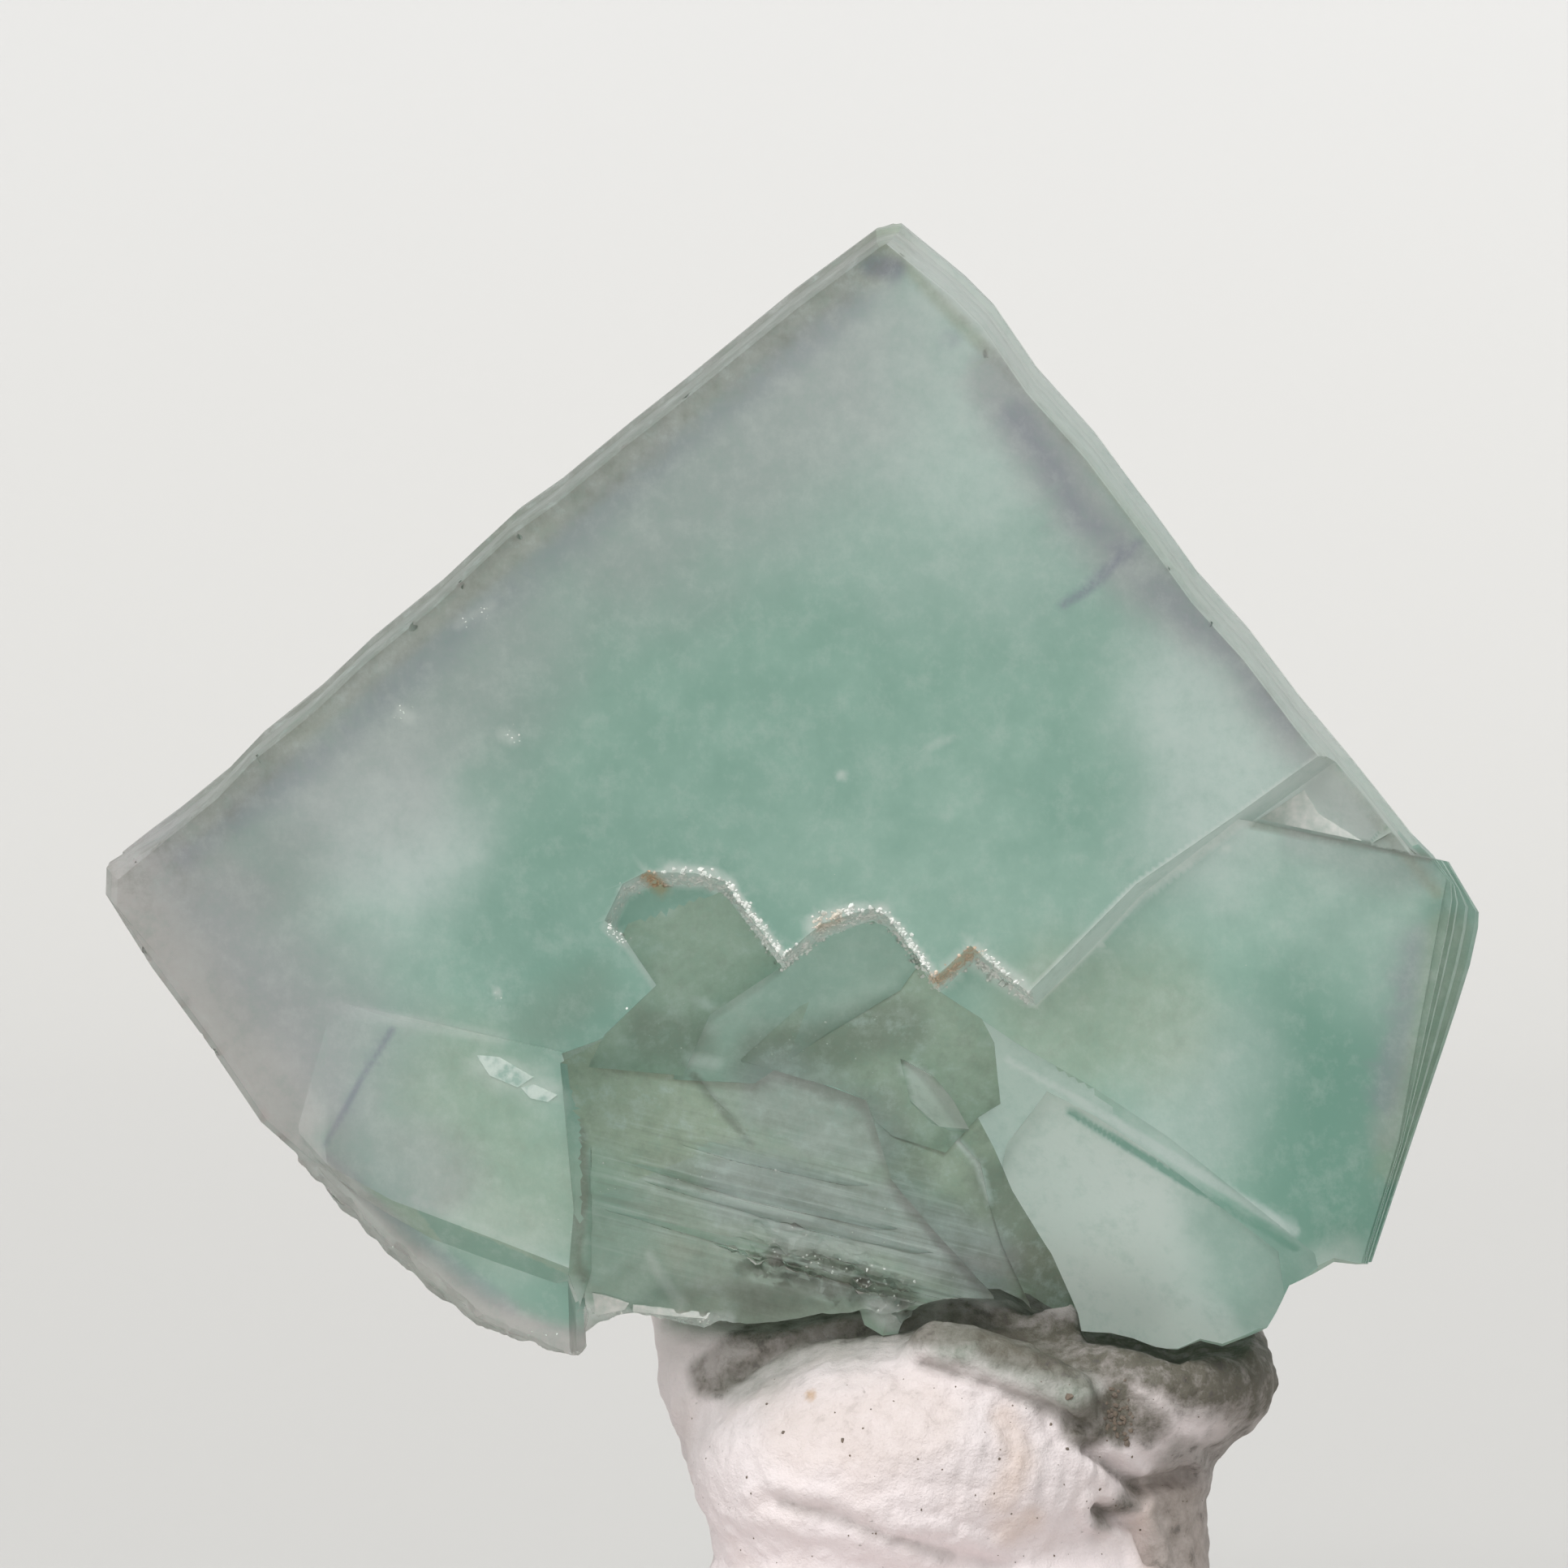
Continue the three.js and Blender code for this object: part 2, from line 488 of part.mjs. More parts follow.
// Distance from the axis to the far side of a lump, looking out along [dx, dy] at height z.
const lumpReach = ([[cx, cy, cz], [rx, ry, rz], slope], z, dx, dy) => {
  const [ox, oy] = [AXIS[0] - cx, AXIS[1] - cy];
  // height over the lump's sloping middle plane changes with x, so it joins the quadratic
  const [h0, h1] = [z - cz - slope * ox, -slope * dx];
  const a = (dx / rx) ** 2 + (dy / ry) ** 2 + (h1 / rz) ** 2;
  const b = (ox * dx) / rx ** 2 + (oy * dy) / ry ** 2 + (h0 * h1) / rz ** 2;
  const c = (ox / rx) ** 2 + (oy / ry) ** 2 + (h0 / rz) ** 2 - 1;
  const root = b * b - a * c;
  return root < 0 ? 0 : (-b + Math.sqrt(root)) / a;
};

const puttyReach = (z, angle) => {
  const [dx, dy] = [Math.cos(angle), Math.sin(angle)];
  const [, left, right, front, back] = columnAt(z);
  const halfX = dx < 0 ? AXIS[0] - left : right - AXIS[0];
  const halfY = dy < 0 ? AXIS[1] - front : back - AXIS[1];
  const power = 2.6;
  const column = (Math.abs(dx / halfX) ** power + Math.abs(dy / halfY) ** power) ** (-1 / power);
  const reaches = [column, ...LUMPS.map((lump) => lumpReach(lump, z, dx, dy))].sort((a, b) => b - a);
  // the two outermost shapes melt together over a short blend
  const blend = Math.max(0, 0.5 - (reaches[0] - reaches[1])) ** 2 / 2;
  const knead = z < 0.3 ? 0 : 0.06 * Math.sin(4 * angle + 1.7 * z) + 0.05 * Math.sin(7 * angle - 2.3 * z);
  return reaches[0] + blend + knead;
};

// The reach at every level and segment, rubbed smooth twice as by a thumb.
const puttyTable = () => {
  const wrap = (i) => (i + AROUND) % AROUND;
  const level = (j) => Math.min(LEVELS, Math.max(0, j));
  let table = Array.from({ length: LEVELS + 1 }, (_, j) =>
    Array.from({ length: AROUND }, (_, i) => puttyReach((j / LEVELS) * TOP, (i / AROUND) * 2 * Math.PI)),
  );
  for (let pass = 0; pass < 2; pass++)
    table = table.map((row, j) =>
      row.map((reach, i) => {
        const around = row[wrap(i - 1)] + row[wrap(i + 1)] + table[level(j - 1)][i] + table[level(j + 1)][i];
        return 0.5 * reach + around / 8;
      }),
    );
  return table;
};

const putty = () => {
  const table = puttyTable();
  const skin = new THREE.CylinderGeometry(1, 1, TOP, AROUND, LEVELS);
  const position = skin.attributes.position;
  for (let i = 0; i < position.count; i++) {
    const [x, y, z] = [position.getX(i), -position.getZ(i), position.getY(i) + TOP / 2];
    const angle = Math.atan2(y, x);
    const segment = (Math.round((angle / (2 * Math.PI)) * AROUND) + AROUND) % AROUND;
    const reach = Math.hypot(x, y) < 0.5 ? 0 : table[Math.round((z / TOP) * LEVELS)][segment];
    position.setXYZ(i, AXIS[0] + reach * Math.cos(angle), AXIS[1] + reach * Math.sin(angle), z);
  }
  return solid(skin);
};

const ball = (centre, radii, [across, down]) =>
  solid(new THREE.SphereGeometry(1, across, down).scale(...radii).translate(...centre));

const tongue = () => {
  const [from, to, thick] = TONGUE;
  const points = [0, 0.3, 0.65, 1].flatMap((t) => {
    const sphere = new THREE.SphereGeometry(1, 14, 9);
    const radius = thick * (1 - 0.25 * t);
    const arch = [0, 0, 0.8 * t * (1 - t)];
    const middle = from.map((value, axis) => value + (to[axis] - value) * t + arch[axis]);
    sphere.scale(radius * 1.1, radius * 1.3, radius).translate(...middle);
    return Array.from({ length: sphere.attributes.position.count }, (_, i) =>
      new THREE.Vector3().fromBufferAttribute(sphere.attributes.position, i));
  });
  return hull(points);
};

// A dark pit where the roll was pinched, a small hole in the tongue and the torn edge below.
const PITS = [
  [[5.75, -2.9, 8.75], [0.55, 0.9, 0.75]],
  [[4.55, -3.7, 9.2], [0.2, 0.5, 0.2]],
  [[5.6, -3.6, 5.9], [0.55, 0.8, 0.3]],
];

// ---------------------------------------------------------------- the assembly
const crystal = cluster(0);
const seat = cluster(SEAT_GAP);
const lump = putty().add(tongue());
const pitted = PITS.reduce((body, [centre, radii]) => body.subtract(ball(centre, radii, [12, 8])), lump);
const stand = biggestPart(pitted.subtract(seat));

const node = (name, manifold, color, roughness) => {
  const material = new THREE.MeshStandardMaterial({ color, roughness, metalness: 0 });
  const mesh = new THREE.Mesh(geometryOf(manifold), material);
  mesh.name = name;
  return mesh;
};

const assembly = new THREE.Group();
assembly.add(node("fluorite_cluster", crystal, 0x8faa9d, 0.25));
assembly.add(node("putty_stand", stand, 0xede4e2, 0.75));

export default assembly;
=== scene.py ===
import math

import bmesh
import bpy
import numpy as np
from bpy.props import FloatProperty, FloatVectorProperty, IntProperty, PointerProperty
from mathutils import Euler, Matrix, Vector
from mathutils.bvhtree import BVHTree


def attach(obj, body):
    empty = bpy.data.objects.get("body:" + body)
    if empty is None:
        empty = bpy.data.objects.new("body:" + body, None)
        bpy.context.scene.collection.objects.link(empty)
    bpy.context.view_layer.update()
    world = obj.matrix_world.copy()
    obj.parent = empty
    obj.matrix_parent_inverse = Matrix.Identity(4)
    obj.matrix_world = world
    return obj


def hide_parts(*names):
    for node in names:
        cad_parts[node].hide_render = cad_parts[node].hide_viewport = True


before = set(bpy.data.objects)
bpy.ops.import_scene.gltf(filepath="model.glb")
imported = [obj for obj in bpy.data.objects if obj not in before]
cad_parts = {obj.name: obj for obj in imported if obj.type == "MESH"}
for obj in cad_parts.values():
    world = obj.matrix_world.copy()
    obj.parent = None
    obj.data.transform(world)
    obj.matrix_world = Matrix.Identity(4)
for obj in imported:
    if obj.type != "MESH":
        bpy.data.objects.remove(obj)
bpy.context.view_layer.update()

bl_info = {
    "name": "Fluorite cluster",
    "version": (1, 0, 0),
    "blender": (4, 5, 0),
    "location": "3D View > Sidebar > Fluorite",
    "description": "Dresses a fluorite cluster that stands in a lump of mineral putty",
    "category": "Object",
}

MM = 0.001
CRYSTAL_NODE = "fluorite_cluster"
PUTTY_NODE = "putty_stand"

# The cluster's own frame, as the solids have it, in millimetres: marks are drawn as [x, z] on an upright
# plane at FACE_Y by an eye straight in front, and depth runs backward from the big front face.
NOD = math.radians(6)
TURN = math.radians(1.2)
EYE = np.array([-2.48, -226.0, 24.28])
FACE_Y = -6.0
FACE_POINT = np.array([EYE[0], FACE_Y, EYE[2]])
BACKWARD = np.array([math.sin(TURN) * math.cos(NOD), math.cos(TURN) * math.cos(NOD), math.sin(NOD)])
VIEW_WIDTH = 38.64  # across the view, at FACE_Y
LAYER = 1.0  # thickness of the last growth layer on the front face


def linear(code):
    """Turns an sRGB hex value into linear red, green and blue."""
    parts = [int(code[i : i + 2], 16) / 255 for i in (1, 3, 5)]
    return tuple(p / 12.92 if p <= 0.04045 else ((p + 0.055) / 1.055) ** 2.4 for p in parts)


def colour(name, description, code):
    """A colour that a user may change, from an sRGB hex value."""
    return FloatVectorProperty(
        name=name, description=description, subtype="COLOR", size=3, min=0, max=1, default=linear(code)
    )


def length(name, description, millimetres):
    """A length that a user may change, held in metres."""
    size = millimetres * MM
    return FloatProperty(
        name=name, description=description, unit="LENGTH", subtype="DISTANCE", min=0, default=size
    )


class FluoriteCrystalSettings(bpy.types.PropertyGroup):
    green: colour("Green", "Body colour of the crystal", "#b4d3c6")
    deep: colour("Deep green", "Clear, saturated parts of the crystal", "#80ad9d")
    pale: colour("Pale green", "Milky parts of the crystal", "#e8efed")
    olive: colour("Olive", "Broken lower end", "#babea5")
    # Umber is also painted shade, on the upper-left wall and along the second cube's top edge.
    umber: colour("Umber", "Clay caught in the hollows", "#807f70")
    lilac: colour("Lilac grey", "Growth zone under the cube's edges", "#bdbabd")
    violet: colour("Violet", "Thin growth bands", "#84819b")
    frost: colour("Frost", "Crushed and frosted edges", "#f4f6f2")
    clay: colour("Clay", "Thin pink clay film on the lower left edge", "#e0cfce")
    ochre: colour("Ochre", "Iron stain on the broken edge", "#cda26c")
    absorption: colour("Absorption", "What a long way through the crystal leaves of white light", "#cfe6df")
    line_edge: length("Line mesh", "Longest mesh edge at fine lines", 0.16)
    combed_edge: length("Striation mesh", "Longest mesh edge on the combed slab", 0.17)
    broken_edge: length("Break mesh", "Longest mesh edge on the broken faces", 0.28)
    face_edge: length("Face mesh", "Longest mesh edge on the grown front faces", 0.7)
    plain_edge: length("Plain mesh", "Longest mesh edge on the walls and the back", 1.2)


class FluoriteGrainSettings(bpy.types.PropertyGroup):
    frost: colour("Frost", "Crushed crystal, white with fine cracks", "#f3f4ef")
    shade: colour("Shade", "Between the cracks of a grain", "#cfdad2")
    green: colour("Green", "The crystal's colour through a thin film", "#96b0a5")
    ochre: colour("Ochre", "Iron stain between the grains", "#c99a62")
    seed: IntProperty(name="Seed", description="Start of every random draw", default=11)


class FluoritePuttySettings(bpy.types.PropertyGroup):
    putty: colour("Putty", "Clean kneaded putty", "#eae0e0")
    # The dark tone is grime, and painted shade in the putty's recesses and creases.
    dirt: colour("Dirt", "Handled and shaded putty", "#635f54")
    # The green grey is painted shade, tinted by light reflected from the crystal.
    moss: colour("Green grey", "Thin putty that takes the crystal's colour", "#868f83")
    stain: colour("Stain", "Tan stains", "#c9a888")
    grit: colour("Grit", "Dark specks", "#57524f")
    tan_grit: colour("Tan grit", "Lighter parts of the specks", "#8a7a68")
    voxel: length("Mesh size", "Size of the putty's mesh faces", 0.13)
    ridge: length("Ridge spacing", "From one fingerprint ridge to the next", 0.46)
    relief: length("Ridge height", "How far a fingerprint ridge stands up", 0.026)


class FluoriteStageSettings(bpy.types.PropertyGroup):
    wall: colour("Wall", "Pale card behind", "#cdcdcd")
    floor: colour("Floor", "Pale card underneath", "#c0bfbc")
    cloud: colour("Cloud", "Faint blotches in the card", "#c2c1bf")
    sun: FloatProperty(name="Key light", description="Soft light from the upper left", default=2.6, min=0)
    sky: FloatProperty(name="Sky light", description="Even light from all round", default=0.75, min=0)


# A Mix node for colours takes its share in socket 0 and the colours in 6 and 7, and gives output 2. One for
# numbers takes them in 0, 2 and 3. Noise scales are features per millimetre.
def add_node(tree, kind, inputs=None, out=0, **settings):
    """Adds a node with its settings and its inputs, values or sockets, and gives the output asked for."""
    node = tree.nodes.new(kind)
    for key, value in settings.items():
        setattr(node, key, value)
    for key, value in (inputs or {}).items():
        socket = node.inputs[key]
        if isinstance(value, bpy.types.NodeSocket):
            tree.links.new(value, socket)
        else:
            socket.default_value = (*value, 1) if socket.type == "RGBA" else value
    return node.outputs[out] if node.outputs else node


def new_material(name):
    """A bare material, its node tree, and its object coordinates in millimetres."""
    material = bpy.data.materials.new(name)
    material.use_nodes = True
    tree = material.node_tree
    tree.nodes.clear()
    place = add_node(tree, "ShaderNodeTexCoord", out="Object")
    scaled = {0: place, "Scale": 1 / MM}
    return material, tree, add_node(tree, "ShaderNodeVectorMath", scaled, "Vector", operation="SCALE")


# ---------------------------------------------------------------- drawing on the object
def drawn(x, z, depth=0.0):
    """Where the line of sight through a drawn point meets the plane at that depth, in millimetres."""
    sight = np.array([x, FACE_Y, z]) - EYE
    middle = FACE_POINT + BACKWARD * depth
    return EYE + sight * (np.dot(middle - EYE, BACKWARD) / np.dot(sight, BACKWARD))


def draw_back(points):
    """The [x, z] at which points are seen on the drawing plane, for points in millimetres."""
    scale = (FACE_Y - EYE[1]) / (points[:, 1] - EYE[1])
    return EYE[[0, 2]] + (points[:, [0, 2]] - EYE[[0, 2]]) * scale[:, None]


# Large odd numbers that spread neighbouring cells and seeds far apart.
CELL_PRIMES = np.array([73856093, 19349663, 83492791])
SEED_PRIME = 2654435761
MIXER = 0x45D9F3B
ALL_BITS = 0xFFFFFFFF


def lattice(cells, seed):
    """A repeatable number from -1 to 1 for each whole [x, y, z] cell."""
    mixed = (cells * CELL_PRIMES).sum(1) + seed * SEED_PRIME
    for shift in (15, 12, 16):
        mixed = ((mixed ^ (mixed >> shift)) * MIXER) & ALL_BITS
    return mixed / (ALL_BITS >> 1) - 1


OCTAVE_SHIFT = 31.7  # moves each octave off the one before, in cells
SEED_STEP = 101  # keeps the octaves of two seeds apart
USUAL_REACH = 1.3  # how far from 0 the octaves reach together


def fractal(points, scale, octaves=4, seed=0):
    """Fractal value noise from about -1 to 1 at each point, with scale in features per millimetre."""
    total, size = np.zeros(len(points)), 1.0
    for octave in range(octaves):
        spot = points * scale * 2**octave + OCTAVE_SHIFT * octave
        cell = np.floor(spot).astype(np.int64)
        t = spot - cell
        t = t * t * t * (t * (6 * t - 15) + 10)
        for corner in np.ndindex(2, 2, 2):
            share = np.prod(np.where(corner, t, 1 - t), axis=1)
            total += size * share * lattice(cell + corner, seed * SEED_STEP + octave)
        size *= 0.5
    return total / USUAL_REACH


def to_stroke(flat, stroke):
    """Distance of flat [x, z] points from a drawn line of [x, z] points."""
    nearest = np.full(len(flat), np.inf)
    for a, b in zip(stroke[:-1] or stroke, stroke[1:] or stroke):
        a, b = np.array(a, float), np.array(b, float)
        along = np.clip((flat - a) @ (b - a) / max(1e-9, (b - a) @ (b - a)), 0, 1)
        nearest = np.minimum(nearest, np.hypot(*(flat - a - along[:, None] * (b - a)).T))
    return nearest


def smooth(value, low, high):
    """0 up to low, 1 from high on, and a soft step between them."""
    t = np.clip((value - low) / (high - low), 0, 1)
    return t * t * (3 - 2 * t)


def inside(flat, outline):
    """True for each flat [x, z] point that lies inside a drawn outline."""
    hit = np.zeros(len(flat), bool)
    x, z = flat.T
    for (x0, z0), (x1, z1) in zip(outline, outline[1:] + outline[:1]):
        crosses = (z0 > z) != (z1 > z)
        hit ^= crosses & (x < (x1 - x0) * (z - z0) / ((z1 - z0) or 1e-9) + x0)
    return hit


MOST_WANDER = 0.6  # how far the soft border of a zone may stray, in millimetres


def zone_values(flat, strokes, wander):
    """How strongly each point takes a zone: strokes are [line, half width, soft border, strength]."""
    value = np.zeros(len(flat))
    for line, half, soft, strength in strokes:
        away = to_stroke(flat, line) + wander * min(MOST_WANDER, soft * 0.25)
        value = np.maximum(value, strength * (1 - smooth(away, half, half + soft)))
    return value


# ---------------------------------------------------------------- meshes
def points_of(mesh, field="vertices", name="co"):
    """A mesh's points, or three numbers of another kind for each, as rows."""
    flat = np.zeros(len(getattr(mesh, field)) * 3)
    getattr(mesh, field).foreach_get(name, flat)
    return flat.reshape(-1, 3)


SAME_POINT = 0.0002  # corners this near in a solid are one, in millimetres


def triangles_of(source):
    """The joined-up corners and triangles of a solid, with corners in millimetres."""
    bm = bmesh.new()
    bm.from_mesh(source.data)
    bmesh.ops.remove_doubles(bm, verts=bm.verts, dist=SAME_POINT * MM)
    bmesh.ops.triangulate(bm, faces=bm.faces)
    points = np.array([v.co for v in bm.verts]) / MM
    triangles = np.array([[v.index for v in f.verts] for f in bm.faces])
    bm.free()
    return points, triangles


def sides_of(triangles):
    """Every edge once, and which three of them each triangle has."""
    sides = np.sort(triangles[:, [[0, 1], [1, 2], [2, 0]]].reshape(-1, 2), axis=1)
    corners = triangles.max() + 1
    key, which = np.unique(sides[:, 0] * corners + sides[:, 1], return_inverse=True)
    edges = np.column_stack([key // corners, key % corners])
    return edges, which.reshape(-1, 3)


FLAT_ANGLE = 0.002  # faces that turn less than this from one to the next are one plane, in radians


def even_out(points, triangles):
    """The same faces with their triangles made as even as the corners allow, by turning flat edges."""
    mesh = bpy.data.meshes.new("even")
    mesh.from_pydata(points, [], triangles.tolist())
    bm = bmesh.new()
    bm.from_mesh(mesh)
    bpy.data.meshes.remove(mesh)
    flat_edges = [e for e in bm.edges if e.calc_face_angle(1) < FLAT_ANGLE]
    bmesh.ops.beautify_fill(bm, faces=bm.faces, edges=flat_edges, method="ANGLE")
    triangles = np.array([[v.index for v in f.verts] for f in bm.faces])
    bm.free()
    return triangles


FEW = 40  # long edges that may stay, at borders between fine and coarse mesh


def refine(points, triangles, finest, edge_at):
    """Cuts triangles until hardly an edge is longer than edge_at() allows at its middle."""
    while True:
        edges, which = sides_of(triangles)
        middles = points[edges].mean(1)
        lengths = np.linalg.norm(points[edges[:, 0]] - points[edges[:, 1]], axis=1)
        long = lengths > finest
        long[long] = lengths[long] > edge_at(middles[long])
        if long.sum() < FEW:
            return points, triangles
        # a triangle with any side cut has its longest side cut too, so no slivers grow
        longest = np.take_along_axis(which, lengths[which].argmax(1)[:, None], 1).ravel()
        while not long[longest[long[which].any(1)]].all():
            long[longest[long[which].any(1)]] = True
        middle_of = np.full(len(edges), -1)
        middle_of[long] = len(points) + np.arange(long.sum())
        points = np.vstack([points, middles[long]])
        cut = long[which]
        # turn each triangle until its long sides make one of a few patterns, and split it by that pattern
        count = cut.sum(1)
        first = np.where(count == 1, cut.argmax(1), np.where(count == 2, (cut.argmin(1) + 1) % 3, 0))
        turn = (first[:, None] + np.arange(3)) % 3
        a, b, c = np.take_along_axis(triangles, turn, 1).T
        ab, bc, ca = middle_of[np.take_along_axis(which, turn, 1)].T
        # with two long sides the quad left over is parted along its shorter diagonal
        span = np.linalg.norm(points[ab] - points[c], axis=1)
        span -= np.linalg.norm(points[bc] - points[a], axis=1)
        patterns = (
            (count == 0, ((a, b, c),)),
            (count == 1, ((a, ab, c), (ab, b, c))),
            ((count == 2) & (span < 0), ((ab, b, bc), (a, ab, c), (ab, bc, c))),
            ((count == 2) & (span >= 0), ((ab, b, bc), (a, ab, bc), (a, bc, c))),
            (count == 3, ((a, ab, ca), (ab, b, bc), (ca, bc, c), (ab, bc, ca))),
        )
        pieces = [(chosen, corners) for chosen, parts in patterns for corners in parts]
        triangles = np.vstack([np.column_stack([p[chosen] for p in corners]) for chosen, corners in pieces])


def paint(mesh, name, values, domain="POINT"):
    """Gives a mesh a mask from 0 to 1 that its material reads by name."""
    layer = mesh.attributes.new(name, "FLOAT", domain)
    layer.data.foreach_set("value", np.ascontiguousarray(np.clip(values, 0, 1), np.float32))


def place(name, mesh, material, slot):
    """Links a finished mesh as a piece of the object."""
    piece = bpy.data.objects.new(name, mesh)
    bpy.context.scene.collection.objects.link(piece)
    mesh.materials.clear()
    mesh.materials.append(material)
    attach(piece, "root")
    return piece


# ---------------------------------------------------------------- the crystal's marks, as [x, z]
ZIGZAG = [
    [13.4, 22.9], [11.0, 25.2], [8.8, 23.62], [6.2, 21.82], [4.4, 20.0], [3.54, 19.14], [2.12, 20.3],
    [1.22, 19.5], [0.06, 21.02], [-0.3, 21.24], [-1.56, 20.84], [-2.54, 20.02], [-3.96, 21.9],
    [-4.68, 22.08], [-5.88, 22.12], [-6.46, 21.82], [-6.9, 20.92], [-6.46, 20.56], [-5.62, 19.32],
    [-6.96, 18.02], [-7.96, 17.64],
]
LEDGE = [[x + 0.09, z - 0.16] for x, z in ZIGZAG]  # the middle of the layer's slanting edge
# The broken lower end as it is seen.
BROKEN_END = ZIGZAG[5:][::-1] + [
    [2.9, 18.4], [3.24, 17.9], [6.96, 15.6], [9.84, 13.3], [10.6, 12.7], [10.6, 9.0], [-7.4, 9.0],
    [-7.5, 15.9],
]
UPPER_LEFT_EDGE = [[-0.2, 37.7], [-2.48, 36.2], [-8.42, 31.3], [-13.12, 27.4], [-19.1, 21.9]]
UPPER_RIGHT_EDGE = [[0.4, 37.8], [3.9, 34.2], [6.9, 30.6], [10.6, 25.9], [13.9, 21.9]]
LOWER_LEFT_EDGE = [[-19.3, 21.9], [-18.3, 20.2], [-15.0, 15.6]]
CLEAVAGE = [[3.0, 17.5], [4.6, 16.6], [7.4, 14.9], [10.1, 13.25]]
LOWER_LEFT_RIM = [[-14.6, 15.2], [-12.4, 12.9], [-10.2, 11.1], [-8.6, 10.5], [-7.4, 10.2]]
